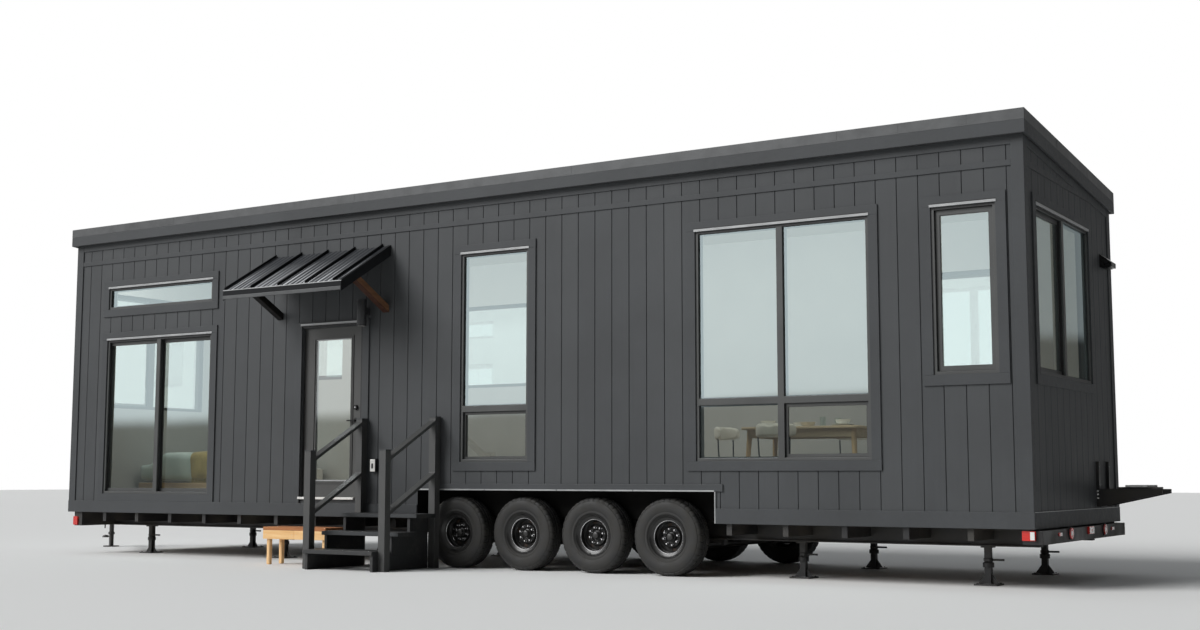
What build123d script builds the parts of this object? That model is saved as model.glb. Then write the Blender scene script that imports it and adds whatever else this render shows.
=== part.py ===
"""A tiny house on a four-axle trailer frame, parked on its stands, with loose entrance steps.

Millimetres, +Z up. The entrance front faces -Y and the tongue points to -X.
Working frame: x from the left end wall, y from the face of the front siding into the house,
z from the ground. The last section moves everything to the centre of the whole part.
"""
import os
from math import atan, cos, radians, sin

from build123d import *

# Body of the house
HOUSE_LENGTH = 12800
HOUSE_DEPTH = 3050
WALL = 120
SKIRT_BOTTOM = 540
FLOOR_BOTTOM_RISE = 20
FLOOR_BOTTOM = SKIRT_BOTTOM + FLOOR_BOTTOM_RISE
FLOOR_THICKNESS = 180
FLOOR_TOP = FLOOR_BOTTOM + FLOOR_THICKNESS

# Shed roof, falling from the front to the back
ROOF_SLOPE = 1 / 12
ROOF_OVERHANG = 68
ROOF_THICKNESS = 200
ROOF_TOP_AT_FRONT_RISE = 3757
ROOF_TOP_AT_FRONT = SKIRT_BOTTOM + ROOF_TOP_AT_FRONT_RISE
FASCIA_THICKNESS = 25
FASCIA_HEIGHT = 122
FASCIA_DROP = 14
CAP_UPSTAND = 12
CAP_FLANGE = 90

# Boards nailed on the siding
SKIRT_HEIGHT = 150
SKIRT_BOARD = 25
TRIM_BOARD = 25
TRIM_WIDTH = 98
BUTT_GAP = 0.5
CUT_PAST = 1
BAND_BOARD = 20
FRIEZE_HEIGHT = 87
BELLY_BAND_BOTTOM_RISE = 3270
BELLY_BAND_BOTTOM = SKIRT_BOTTOM + BELLY_BAND_BOTTOM_RISE
BELLY_BAND_HEIGHT = 55
CORNER_WIDTH = 98
CORNER_BOARD = 22

# Wheel opening in the long walls, with the folded steel box behind it
WELL_LEFT = 5886
WELL_RIGHT = 9655
WELL_TOP_RISE = 315
WELL_TOP = SKIRT_BOTTOM + WELL_TOP_RISE
WELL_DEPTH = 325
WELL_SHEET = 6
WELL_TRIM_HEIGHT = 72
WELL_TRIM_PAST = 90

# Running gear
TYRE_RADIUS = 392.5
TYRE_WIDTH = 235
TYRE_BEAD_RADIUS = 212
TYRE_FACE = 30
AXLE_FIRST = 6394
AXLE_PITCH = 892
AXLE_COUNT = 4
RIM_WALL = 9
RIM_DISC = 12
HUB_RADIUS = 62
SPINDLE_RADIUS = 22
SPINDLE_CLEARANCE = 0.5
SPINDLE_END_GAP = 3
HUB_CAP = 25
AXLE_RADIUS = 38
AXLE_DROP = 103
HUB_BACK_INSET = 30
HUB_TO_UPRIGHT = 12
UPRIGHT_THICKNESS = 30
SPRING_LENGTH = 760
SPRING_WIDTH = 60
SPRING_THICKNESS = 20
SEAT_LENGTH = 100
RIM_INSET = 22
RIM_LIP = 18
RIM_DISH = 85
RIM_STEP_DEPTH = 50
RIM_STEP_RADIUS = 165
HUB_REACH = 120
HUB_BEVEL = 12
BEAD_INSET = 25
BEAD_HEIGHT = 35
BEAD_BULGE = 6
SIDEWALL_HEIGHT = 95
SHOULDER_HEIGHT = 35
SHOULDER_INSET = 8
TREAD_EDGE = 22
TREAD_ROUND = 10
TREAD_INSET = 45
FIT = 0.3

# Trailer frame
BEAM_OFFSET = 600
BEAM_HEIGHT = 200
BEAM_FLANGE = 110
BEAM_WEB = 12
FLANGE_THICKNESS = 14
BEAM_END_GAP = 50
CROSS_PITCH = 610
CROSS_FIRST = 640
CROSS_WIDTH = 60
CROSS_HEIGHT = 120
HEADER_WIDTH = 150
BUMPER_BACK = 100
BUMPER_REACH = 80
BUMPER_HEIGHT = 125
BUMPER_TOP_GAP = 12
FRAME_SIDE_GAP = 25
TONGUE_REACH = 1250
TONGUE_BAR = 80
TONGUE_HEIGHT = 130
COUPLER_LENGTH = 260
COUPLER_WIDTH = 90
JACK_RADIUS = 32
JACK_FROM_END = 20
JACK_ABOVE_TONGUE = 260
STANDS_FROM_LEFT = [900, 3300, 5300]
STAND_PAST_AXLES = 1254
STAND_FROM_RIGHT = 600
STAND_FOOT = 220
STAND_FOOT_THICKNESS = 14
STAND_TUBE = 60
STAND_HEAD = 110

# Doorway and door leaf
DOORWAY_LEFT = 4065
DOORWAY_RIGHT = 5049
DOORWAY_TOP_RISE = 2268
DOORWAY_TOP = SKIRT_BOTTOM + DOORWAY_TOP_RISE
JAMB = 30
CASING_LAP = 33
DOOR_SETBACK = 35
DOOR_THICKNESS = 45
DOOR_GAP = 5
LATCH_GAP = 8
STOP_WIDTH = 12
SILL_HEIGHT = 20
HINGE_RADIUS = 7
HINGE_PIN = 3
HINGE_HEIGHT = 100
HINGE_LEAF = 3
HINGE_LEAF_WIDTH = 28
HINGE_HEIGHTS = [150, 950, 1750]
DOOR_GLASS_SIDE = 165
DOOR_GLASS_BOTTOM = 180
DOOR_GLASS_TOP = 140
DOOR_GLASS_SETBACK = 8
GLASS = 6
LOCK_INSET = 90
LEVER_HEIGHT = 888
DEADBOLT_ABOVE = 152

# Windows, as openings in the wall: left, right, bottom, top above the skirt's lower edge
TRANSOM = (638, 2565, 2655, 2935)
SLIDER = (638, 2565, 243, 2250)
TALL = (6480, 7391, 622, 2940)
WIDE_FROM_END = 3350
WIDE_WIDTH = 1866
WIDE_LEFT = HOUSE_LENGTH - WIDE_FROM_END
WIDE = (WIDE_LEFT, WIDE_LEFT + WIDE_WIDTH, 616, 2940)
SMALL_FROM_END = 863
SMALL_WIDTH = 611
SMALL_LEFT = HOUSE_LENGTH - SMALL_FROM_END
SMALL = (SMALL_LEFT, SMALL_LEFT + SMALL_WIDTH, 1392, 2955)
END_WINDOW = (314, 2153, 1392, 2955)
BACK_SMALL_LEFT = (1200, 2100, 1850, 2750)
BACK_MIDDLE = (4100, 5400, 1650, 2750)
BACK_RIGHT_FROM_END = 2700
BACK_RIGHT_WIDTH = 1500
BACK_RIGHT_LEFT = HOUSE_LENGTH - BACK_RIGHT_FROM_END
BACK_RIGHT = (BACK_RIGHT_LEFT, BACK_RIGHT_LEFT + BACK_RIGHT_WIDTH, 1450, 2750)
FRAME_FACE = 30
FRAME_DEPTH = 84
FRAME_PROUD = 10
SASH_BAR = 68
TALL_RAIL_RISE = 1206
TALL_RAIL = SKIRT_BOTTOM + TALL_RAIL_RISE
FIXED_GLASS = 14
SASH_GLASS = 36
OUTER_SLIDING_GLASS = 45
INNER_SLIDING_GLASS = 64

# Canopy over the door
CANOPY_LEFT = 3620
CANOPY_RIGHT = 5440
CANOPY_REACH = 840
CANOPY_TOP_AT_WALL_RISE = 3125
CANOPY_TOP_AT_WALL = SKIRT_BOTTOM + CANOPY_TOP_AT_WALL_RISE
CANOPY_TOP_AT_EDGE_RISE = 2628
CANOPY_TOP_AT_EDGE = SKIRT_BOTTOM + CANOPY_TOP_AT_EDGE_RISE
CANOPY_SHEET = 12
CANOPY_FRAME_HEIGHT = 92
CANOPY_FRAME_BOARD = 38
BRACE = 89
BRACE_DEPTH = 75
BRACE_LEFT_X = 3682
BRACE_RIGHT_X = 5340
BRACE_FOOT_Z_RISE = 2344
BRACE_FOOT_Z = SKIRT_BOTTOM + BRACE_FOOT_Z_RISE
BRACE_SLOPE = 0.55

# Lamp, socket box and vent hood
LAMP_X = 5118
LAMP_RADIUS = 55
LAMP_BOTTOM_RISE = 2197
LAMP_BOTTOM = SKIRT_BOTTOM + LAMP_BOTTOM_RISE
LAMP_HEIGHT = 310
LAMP_ARM = 45
LAMP_PLATE_LOW = 20
LAMP_PLATE_HIGH = 60
OUTLET_X = 5218
OUTLET_Z_RISE = 515
OUTLET_Z = SKIRT_BOTTOM + OUTLET_Z_RISE
OUTLET_WIDTH = 84
OUTLET_HEIGHT = 150
OUTLET_DEPTH = 55
VENT_FROM_BACK = 410
VENT_WIDTH = 190
VENT_Z_RISE = 2640
VENT_Z = SKIRT_BOTTOM + VENT_Z_RISE
VENT_HEIGHT = 150
VENT_REACH = 130

# Pair of wall arms at the right end
ARMS_FROM_BACK = [850, 450]
ARM_WIDTH = 42
ARM_BOTTOM_RISE = 165
ARM_BOTTOM = SKIRT_BOTTOM + ARM_BOTTOM_RISE
ARM_TOP_RISE = 618
ARM_TOP = SKIRT_BOTTOM + ARM_TOP_RISE
ARM_DEPTH = 40
ARM_SHELF_Z_RISE = 342
ARM_SHELF_Z = SKIRT_BOTTOM + ARM_SHELF_Z_RISE
ARM_REACH = 640
ARM_TIP = 42
ARM_RAIL = 40
ARM_RAIL_HEIGHT = 20
ARM_RAILS_FROM_WALL = [224, 512]

# Lamps on the frame
LAMP_HEIGHT_REAR = 86
CORNER_LAMP_LENGTH = 120
CORNER_LAMP_FROM_END = 60
MARKER_LENGTH = 80
MARKER_HEIGHT = 110
MARKER_BELOW_FLOOR = 80
LAMP_TOP_GAP = 2
PLATE_LAMP_LENGTH = 180
PLATE_LAMP_HEIGHT = 70
LAMP_STAND = 20
ROUND_LAMP_RADIUS = 52
ROUND_LAMP_SPREAD = 625

# Entrance steps
STEP_TREAD_RIGHT = 6232
STEP_RISE = 190
STEP_RUN = 305
STEP_TREAD = 44
STEP_TOP_RISE = 57
STEP_TOP = SKIRT_BOTTOM + STEP_TOP_RISE
STEP_TOP_FRONT = 450
STEP_SIDE_BOARD = 38
STEP_SIDE_INSET = 22
POST = 89
POST_LEFT_X = 5054
POST_RIGHT_X = 6124
POST_FRONT_Y = -957
POST_BACK_TOP_RISE = 1120
POST_BACK_TOP = SKIRT_BOTTOM + POST_BACK_TOP_RISE
POST_FRONT_TOP_RISE = 742
POST_FRONT_TOP = SKIRT_BOTTOM + POST_FRONT_TOP_RISE
RAIL = 38
RAIL_TOP_BACK_RISE = 1085
RAIL_TOP_BACK = SKIRT_BOTTOM + RAIL_TOP_BACK_RISE
RAIL_TOP_FRONT_RISE = 677
RAIL_TOP_FRONT = SKIRT_BOTTOM + RAIL_TOP_FRONT_RISE
LOWER_RAIL_DROP = 580

# Cedar step by itself in front of the door
CEDAR_LEFT = 4080
CEDAR_RIGHT = 5040
CEDAR_FRONT = -580
CEDAR_DEPTH = 310
CEDAR_TOP_FALL = 110
CEDAR_TOP = SKIRT_BOTTOM - CEDAR_TOP_FALL
CEDAR_BOARD = 38
CEDAR_APRON = 100
CEDAR_LEG = 70

# Bed behind the left window
BED_LEFT = 240
BED_BACK_GAP = 60
BED_LENGTH = 1990
BED_WIDTH = 1700
BED_MATTRESS_TOP = 390
BED_COVER_TOP = 620
BED_COVER_SLOPE = 480

# Dining table and chairs behind the wide window
TABLE_FROM_END = 3460
TABLE_LENGTH = 1360
TABLE_FRONT = 1150
TABLE_DEPTH = 800
TABLE_HEIGHT = 790
TABLE_TOP = 30
TABLE_APRON = 90
TABLE_INSET = 50
TABLE_LEG = 50
CHAIR_SEAT_RADIUS = 225
CHAIR_SEAT_HEIGHT = 450
CHAIR_SEAT = 50
CHAIR_LEG_RADIUS = 14
CHAIR_LEG_SPREAD = 145
CHAIR_BACK_RADIUS = 250
CHAIR_BACK = 28
CHAIR_BACK_LOW = 640
CHAIR_BACK_TOP = 840
CHAIR_BACK_TURN = 75
CHAIR_POST_RADIUS = 9
CHAIR_POST_TURN = 55
CHAIR_GAP = 5
NEAR_CHAIR_FROM_LEFT = 560
FAR_CHAIR_FROM_LEFT = 860
RIGHT_CHAIR_FORWARD = 150

parts = {}


def block(x0, x1, y0, y1, z0, z1):
    """An upright box between two corners."""
    return Pos(x0, y0, z0) * Box(x1 - x0, y1 - y0, z1 - z0, align=(Align.MIN, Align.MIN, Align.MIN))


def prism_along_x(outline, x0, x1):
    """A (y, z) outline pushed from x0 to x1."""
    face = make_face(Plane.YZ * Polyline(*outline, close=True))
    return Pos(x0, 0, 0) * extrude(face, x1 - x0, dir=(1, 0, 0))


def prism_along_y(outline, y0, y1):
    """An (x, z) outline pushed from y0 to y1."""
    wire = Polyline(*[(x, 0, z) for x, z in outline], close=True)
    return Pos(0, y0, 0) * extrude(make_face(wire), y1 - y0, dir=(0, 1, 0))


def keep(name, *solids):
    """Store the solids of one node."""
    parts[name] = solids[0] if len(solids) == 1 else Compound([s for shape in solids for s in shape.solids()])


def roof_top(y):
    """Height of the roof panel's upper face."""
    return ROOF_TOP_AT_FRONT - (y + ROOF_OVERHANG) * ROOF_SLOPE


def roof_under(y):
    """Height of the roof panel's lower face, where the walls end."""
    return roof_top(y) - ROOF_THICKNESS


def sloped(x0, x1, y0, y1, low, high):
    """A board along the roof's fall, between two heights measured from the roof's lower face."""
    outline = [
        (y0, roof_under(y0) + low),
        (y1, roof_under(y1) + low),
        (y1, roof_under(y1) + high),
        (y0, roof_under(y0) + high),
    ]
    return prism_along_x(outline, x0, x1)


def window_hole(window, y0, y1):
    left, right, bottom, top = window
    return block(left, right, y0, y1, SKIRT_BOTTOM + bottom, SKIRT_BOTTOM + top)


def ring(x0, x1, y0, y1, z0, z1, border, through):
    """A rectangular frame; through is the axis that its hole runs along."""
    outer = block(x0, x1, y0, y1, z0, z1)
    if through == "y":
        return outer - block(x0 + border, x1 - border, y0, y1, z0 + border, z1 - border)
    if through == "z":
        return outer - block(x0 + border, x1 - border, y0 + border, y1 - border, z0, z1)
    return outer - block(x0, x1, y0 + border, y1 - border, z0 + border, z1 - border)


# Floor platform, cut back round the two wheel boxes
BACK = HOUSE_DEPTH
WELL_INNER = WELL_DEPTH + WELL_SHEET
floor = block(0, HOUSE_LENGTH, 0, BACK, FLOOR_BOTTOM, FLOOR_TOP)
for y0, y1 in [(0, WELL_INNER), (BACK - WELL_INNER, BACK)]:
    floor -= block(WELL_LEFT - WELL_SHEET, WELL_RIGHT + WELL_SHEET, y0, y1, FLOOR_BOTTOM, FLOOR_TOP)
keep("floor", floor)

# Folded steel wheel boxes: open below and towards the outside
wells = []
for side in ["front", "back"]:
    y0 = 0 if side == "front" else BACK - WELL_INNER
    y1 = y0 + WELL_INNER
    inner_y0 = y0 if side == "front" else y0 + WELL_SHEET
    shell = block(WELL_LEFT - WELL_SHEET, WELL_RIGHT + WELL_SHEET, y0, y1, FLOOR_BOTTOM, WELL_TOP + WELL_SHEET)
    hollow = block(WELL_LEFT, WELL_RIGHT, inner_y0, inner_y0 + WELL_DEPTH, FLOOR_BOTTOM, WELL_TOP)
    wells.append(shell - hollow)
keep("wheel_wells", *wells)


# Long walls, standing on the floor and cut to the roof's fall
def long_wall(x0, x1, front, z0=FLOOR_TOP):
    y0, y1 = (0, WALL) if front else (BACK - WALL, BACK)
    outline = [(y0, z0), (y1, z0), (y1, roof_under(y1)), (y0, roof_under(y0))]
    return prism_along_x(outline, x0, x1)


def well_notch(y0, y1):
    return block(WELL_LEFT - WELL_SHEET, WELL_RIGHT + WELL_SHEET, y0, y1, FLOOR_TOP, WELL_TOP + WELL_SHEET)


front_left = long_wall(0, DOORWAY_LEFT, True)
for window in [TRANSOM, SLIDER]:
    front_left -= window_hole(window, 0, WALL)
keep("front_wall_left", front_left)
keep("front_wall_over_door", long_wall(DOORWAY_LEFT, DOORWAY_RIGHT, True, DOORWAY_TOP))
front_right = long_wall(DOORWAY_RIGHT, HOUSE_LENGTH, True) - well_notch(0, WALL)
for window in [TALL, WIDE, SMALL]:
    front_right -= window_hole(window, 0, WALL)
keep("front_wall_right", front_right)
BACK_WINDOWS = [BACK_SMALL_LEFT, BACK_MIDDLE, BACK_RIGHT]
back_wall = long_wall(0, HOUSE_LENGTH, False) - well_notch(BACK - WALL, BACK)
for window in BACK_WINDOWS:
    back_wall -= window_hole(window, BACK - WALL, BACK)
keep("back_wall", back_wall)


# End walls between the long ones
def end_wall(x0):
    wall = prism_along_x(
        [
            (WALL, FLOOR_TOP),
            (BACK - WALL, FLOOR_TOP),
            (BACK - WALL, roof_under(BACK - WALL)),
            (WALL, roof_under(WALL)),
        ],
        x0,
        x0 + WALL,
    )
    near, far, bottom, top = END_WINDOW
    return wall - block(x0, x0 + WALL, near, far, SKIRT_BOTTOM + bottom, SKIRT_BOTTOM + top)


keep("left_wall", end_wall(0))
keep("right_wall", end_wall(HOUSE_LENGTH - WALL))

# Roof panel, with fascia boards under a folded metal cap
roof = prism_along_x(
    [
        (-ROOF_OVERHANG, roof_under(-ROOF_OVERHANG)),
        (BACK + ROOF_OVERHANG, roof_under(BACK + ROOF_OVERHANG)),
        (BACK + ROOF_OVERHANG, roof_top(BACK + ROOF_OVERHANG)),
        (-ROOF_OVERHANG, roof_top(-ROOF_OVERHANG)),
    ],
    -ROOF_OVERHANG / 2,
    HOUSE_LENGTH + ROOF_OVERHANG / 2,
)
keep("roof", roof)
ROOF_LEFT = -ROOF_OVERHANG / 2
ROOF_RIGHT = HOUSE_LENGTH + ROOF_OVERHANG / 2
ROOF_FRONT = -ROOF_OVERHANG
ROOF_BACK = BACK + ROOF_OVERHANG


def edge_board(name, thickness, low, high):
    """Four boards round the roof's edge, mitred by letting the long ones run past."""
    front = sloped(ROOF_LEFT - thickness, ROOF_RIGHT + thickness, ROOF_FRONT - thickness, ROOF_FRONT, low, high)
    back = sloped(ROOF_LEFT - thickness, ROOF_RIGHT + thickness, ROOF_BACK, ROOF_BACK + thickness, low, high)
    left = sloped(ROOF_LEFT - thickness, ROOF_LEFT, ROOF_FRONT, ROOF_BACK, low, high)
    right = sloped(ROOF_RIGHT, ROOF_RIGHT + thickness, ROOF_FRONT, ROOF_BACK, low, high)
    keep(name, front + back + left + right)


edge_board("fascia_boards", FASCIA_THICKNESS, -FASCIA_DROP, FASCIA_HEIGHT - FASCIA_DROP)
cap_low = FASCIA_HEIGHT - FASCIA_DROP
cap_high = ROOF_THICKNESS + CAP_UPSTAND
cap_out = FASCIA_THICKNESS
cap = sloped(ROOF_LEFT - cap_out, ROOF_RIGHT + cap_out, ROOF_FRONT - cap_out, ROOF_BACK + cap_out, cap_low, cap_high)
cap -= sloped(
    ROOF_LEFT + CAP_FLANGE,
    ROOF_RIGHT - CAP_FLANGE,
    ROOF_FRONT + CAP_FLANGE,
    ROOF_BACK - CAP_FLANGE,
    cap_low - CUT_PAST,
    cap_high + CUT_PAST,
)
cap -= sloped(ROOF_LEFT, ROOF_RIGHT, ROOF_FRONT, ROOF_BACK, cap_low - CUT_PAST, ROOF_THICKNESS)
keep("roof_edge_cap", cap)

# Skirt boards round the floor, broken at the wheel openings
SKIRT_TOP = SKIRT_BOTTOM + SKIRT_HEIGHT
skirts = []
for y0, y1 in [(-SKIRT_BOARD, 0), (BACK, BACK + SKIRT_BOARD)]:
    skirts.append(block(-SKIRT_BOARD, WELL_LEFT, y0, y1, SKIRT_BOTTOM, SKIRT_TOP))
    skirts.append(block(WELL_RIGHT, HOUSE_LENGTH + SKIRT_BOARD, y0, y1, SKIRT_BOTTOM, SKIRT_TOP))
    skirts.append(
        block(WELL_LEFT - TRIM_BOARD, WELL_RIGHT + WELL_TRIM_PAST, y0, y1, WELL_TOP, WELL_TOP + WELL_TRIM_HEIGHT)
    )
for x0, x1 in [(-SKIRT_BOARD, 0), (HOUSE_LENGTH, HOUSE_LENGTH + SKIRT_BOARD)]:
    skirts.append(block(x0, x1, BUTT_GAP, BACK - BUTT_GAP, SKIRT_BOTTOM, SKIRT_TOP))
keep("skirt_boards", *skirts)

# Corner boards, an L at each corner from the skirt to the roof
corners = []
for x_out, x_in in [(-CORNER_BOARD, CORNER_WIDTH), (HOUSE_LENGTH + CORNER_BOARD, HOUSE_LENGTH - CORNER_WIDTH)]:
    for y_out, y_in in [(-CORNER_BOARD, CORNER_WIDTH), (BACK + CORNER_BOARD, BACK - CORNER_WIDTH)]:
        x0, x1 = sorted([x_out, x_in])
        y0, y1 = sorted([y_out, y_in])
        outline = [(y0, SKIRT_TOP), (y1, SKIRT_TOP), (y1, roof_under(y1)), (y0, roof_under(y0))]
        post = prism_along_x(outline, x0, x1)
        corners.append(post - block(0, HOUSE_LENGTH, 0, BACK, SKIRT_TOP, ROOF_TOP_AT_FRONT))
keep("corner_boards", *corners)

# Frieze boards under the roof and belly bands below them
BAND_TOP = BELLY_BAND_BOTTOM + BELLY_BAND_HEIGHT
bands = []
for y0, y1, front in [(-BAND_BOARD, 0, True), (BACK, BACK + BAND_BOARD, False)]:
    bands.append(sloped(CORNER_WIDTH, HOUSE_LENGTH - CORNER_WIDTH, y0, y1, -FRIEZE_HEIGHT, 0))
    if front:
        bands.append(block(CORNER_WIDTH, HOUSE_LENGTH - CORNER_WIDTH, y0, y1, BELLY_BAND_BOTTOM, BAND_TOP))
for x0, x1 in [(-BAND_BOARD, 0), (HOUSE_LENGTH, HOUSE_LENGTH + BAND_BOARD)]:
    frieze = sloped(x0, x1, CORNER_WIDTH, BACK - CORNER_WIDTH, -FRIEZE_HEIGHT, 0)
    below_frieze = sloped(x0, x1, CORNER_WIDTH, BACK - CORNER_WIDTH, -ROOF_TOP_AT_FRONT / 2, -FRIEZE_HEIGHT)
    belly = block(x0, x1, CORNER_WIDTH, BACK - CORNER_WIDTH, BELLY_BAND_BOTTOM, BAND_TOP) & below_frieze
    bands.append(frieze + belly)
keep("band_boards", *bands)

# Flat trim boards round each window and beside the door, butted with a hairline gap
trims = []


def trim_boards(left, right, low, high, z_floor, place):
    """Two side boards between a head board and a sill board; place turns a rectangle into a solid."""
    foot = max(low - TRIM_WIDTH, z_floor)
    trims.append(place(left - TRIM_WIDTH, right + TRIM_WIDTH, foot, low))
    trims.append(place(left - TRIM_WIDTH, right + TRIM_WIDTH, high, high + TRIM_WIDTH))
    trims.append(place(left - TRIM_WIDTH, left, low + BUTT_GAP, high - BUTT_GAP))
    trims.append(place(right, right + TRIM_WIDTH, low + BUTT_GAP, high - BUTT_GAP))


def on_front(a, b, z0, z1):
    return block(a, b, -TRIM_BOARD, 0, z0, z1)


def on_back(a, b, z0, z1):
    return block(a, b, BACK, BACK + TRIM_BOARD, z0, z1)


def on_left(a, b, z0, z1):
    return block(-TRIM_BOARD, 0, a, b, z0, z1)


def on_right(a, b, z0, z1):
    return block(HOUSE_LENGTH, HOUSE_LENGTH + TRIM_BOARD, a, b, z0, z1)


for windows, place in [
    ([TRANSOM, SLIDER, TALL, WIDE, SMALL], on_front),
    (BACK_WINDOWS, on_back),
    ([END_WINDOW], on_left),
    ([END_WINDOW], on_right),
]:
    for left, right, bottom, top in windows:
        trim_boards(left, right, SKIRT_BOTTOM + bottom, SKIRT_BOTTOM + top, SKIRT_TOP + BUTT_GAP, place)
casing_top = DOORWAY_TOP + JAMB
casing_edge = DOORWAY_LEFT + CASING_LAP
trims.append(on_front(casing_edge - TRIM_WIDTH, casing_edge, SKIRT_TOP, casing_top))
trims.append(on_front(DOORWAY_RIGHT, DOORWAY_RIGHT + TRIM_WIDTH, SKIRT_TOP, casing_top))
trims.append(on_front(casing_edge + BUTT_GAP, DOORWAY_RIGHT - BUTT_GAP, DOORWAY_TOP, casing_top))
keep("window_trim", *trims)


# Window frames, a little proud of the siding, with their panes inside
def pane_frame(window, y_face, inward, setbacks, uprights=(), rails=()):
    """A frame with glazing bars, and its panes; inward is +1 for a front wall and -1 for a back wall.

    Setbacks are the glass's distances behind the siding's face, by column from the left and up each column.
    """
    left, right, bottom, top = window
    z0 = SKIRT_BOTTOM + bottom
    z1 = SKIRT_BOTTOM + top
    y0, y1 = sorted([y_face - inward * FRAME_PROUD, y_face + inward * (FRAME_DEPTH - FRAME_PROUD)])
    frame = ring(left, right, y0, y1, z0, z1, FRAME_FACE, "y")
    xs = [left + FRAME_FACE, right - FRAME_FACE]
    zs = [z0 + FRAME_FACE, z1 - FRAME_FACE]
    for x in uprights:
        frame += block(x - SASH_BAR / 2, x + SASH_BAR / 2, y0, y1, z0 + FRAME_FACE, z1 - FRAME_FACE)
        xs[1:1] = [x - SASH_BAR / 2, x + SASH_BAR / 2]
    for z in rails:
        frame += block(left + FRAME_FACE, right - FRAME_FACE, y0, y1, z - SASH_BAR / 2, z + SASH_BAR / 2)
        zs[1:1] = [z - SASH_BAR / 2, z + SASH_BAR / 2]
    panes = []
    for i in range(0, len(xs), 2):
        for k in range(0, len(zs), 2):
            setback = setbacks[len(panes)]
            g0, g1 = sorted([y_face + inward * setback, y_face + inward * (setback + GLASS)])
            panes.append(block(xs[i], xs[i + 1], g0, g1, zs[k], zs[k + 1]))
    return frame, panes


def middle(window):
    return (window[0] + window[1]) / 2


front_frames = []
front_panes = []
for window, setbacks, uprights, rails in [
    (TRANSOM, [FIXED_GLASS], (), ()),
    (SLIDER, [OUTER_SLIDING_GLASS, INNER_SLIDING_GLASS], (middle(SLIDER),), ()),
    (TALL, [SASH_GLASS, FIXED_GLASS], (), (TALL_RAIL,)),
    (WIDE, [FIXED_GLASS, FIXED_GLASS, SASH_GLASS, FIXED_GLASS], (middle(WIDE),), (TALL_RAIL,)),
    (SMALL, [SASH_GLASS], (), ()),
]:
    frame, panes = pane_frame(window, 0, 1, setbacks, uprights, rails)
    front_frames.append(frame)
    front_panes += panes
keep("front_window_frames", *front_frames)
keep("front_window_glass", *front_panes)
back_frames = []
other_panes = []
for window, setbacks, uprights in [
    (BACK_SMALL_LEFT, [SASH_GLASS], ()),
    (BACK_MIDDLE, [FIXED_GLASS], ()),
    (BACK_RIGHT, [OUTER_SLIDING_GLASS, INNER_SLIDING_GLASS], (middle(BACK_RIGHT),)),
]:
    frame, panes = pane_frame(window, BACK, -1, setbacks, uprights)
    back_frames.append(frame)
    other_panes += panes
keep("back_window_frames", *back_frames)
near, far, bottom, top = END_WINDOW
end_frames = []
for x_face, inward in [(0, 1), (HOUSE_LENGTH, -1)]:
    x0, x1 = sorted([x_face - inward * FRAME_PROUD, x_face + inward * (FRAME_DEPTH - FRAME_PROUD)])
    z0 = SKIRT_BOTTOM + bottom
    z1 = SKIRT_BOTTOM + top
    centre = (near + far) / 2
    frame = ring(x0, x1, near, far, z0, z1, FRAME_FACE, "x")
    bar0 = centre - SASH_BAR / 2
    bar1 = centre + SASH_BAR / 2
    frame += block(x0, x1, bar0, bar1, z0 + FRAME_FACE, z1 - FRAME_FACE)
    end_frames.append(frame)
    for p0, p1, setback in [(near + FRAME_FACE, bar0, OUTER_SLIDING_GLASS), (bar1, far - FRAME_FACE, FIXED_GLASS)]:
        g0, g1 = sorted([x_face + inward * setback, x_face + inward * (setback + GLASS)])
        other_panes.append(block(g0, g1, p0, p1, z0 + FRAME_FACE, z1 - FRAME_FACE))
keep("end_window_frames", *end_frames)
keep("back_and_end_glass", *other_panes)

# Door frame with a low sill and stops; the leaf hangs inside it and swings into the house
LEAF_FRONT = DOOR_SETBACK
LEAF_BACK = DOOR_SETBACK + DOOR_THICKNESS
SILL_TOP = FLOOR_TOP + SILL_HEIGHT
jambs = ring(DOORWAY_LEFT, DOORWAY_RIGHT, 0, LEAF_BACK, SILL_TOP - JAMB, DOORWAY_TOP, JAMB, "y")
stop_border = JAMB + STOP_WIDTH
stops = ring(
    DOORWAY_LEFT, DOORWAY_RIGHT, 0, LEAF_FRONT - DOOR_GAP, SILL_TOP - stop_border, DOORWAY_TOP, stop_border, "y"
)
door_frame = jambs + stops - block(DOORWAY_LEFT, DOORWAY_RIGHT, 0, LEAF_BACK, SKIRT_BOTTOM, FLOOR_TOP)
keep("door_frame", door_frame)
LEAF_LEFT = DOORWAY_LEFT + JAMB + DOOR_GAP
LEAF_RIGHT = DOORWAY_RIGHT - JAMB - LATCH_GAP
LEAF_BOTTOM = SILL_TOP + DOOR_GAP
LEAF_TOP = DOORWAY_TOP - JAMB - DOOR_GAP
HINGE_X = DOORWAY_LEFT + JAMB + DOOR_GAP / 2
HINGE_Y = LEAF_BACK + HINGE_RADIUS + DOOR_GAP
leaf = block(LEAF_LEFT, LEAF_RIGHT, LEAF_FRONT, LEAF_BACK, LEAF_BOTTOM, LEAF_TOP)
glass_box = (
    LEAF_LEFT + DOOR_GLASS_SIDE,
    LEAF_RIGHT - DOOR_GLASS_SIDE,
    LEAF_BOTTOM + DOOR_GLASS_BOTTOM,
    LEAF_TOP - DOOR_GLASS_TOP,
)
leaf -= block(glass_box[0], glass_box[1], LEAF_FRONT, LEAF_BACK, glass_box[2], glass_box[3])
keep("door_leaf", leaf)
glass_y = LEAF_FRONT + DOOR_GLASS_SETBACK
keep("door_glass", block(glass_box[0], glass_box[1], glass_y, glass_y + GLASS, glass_box[2], glass_box[3]))


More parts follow.
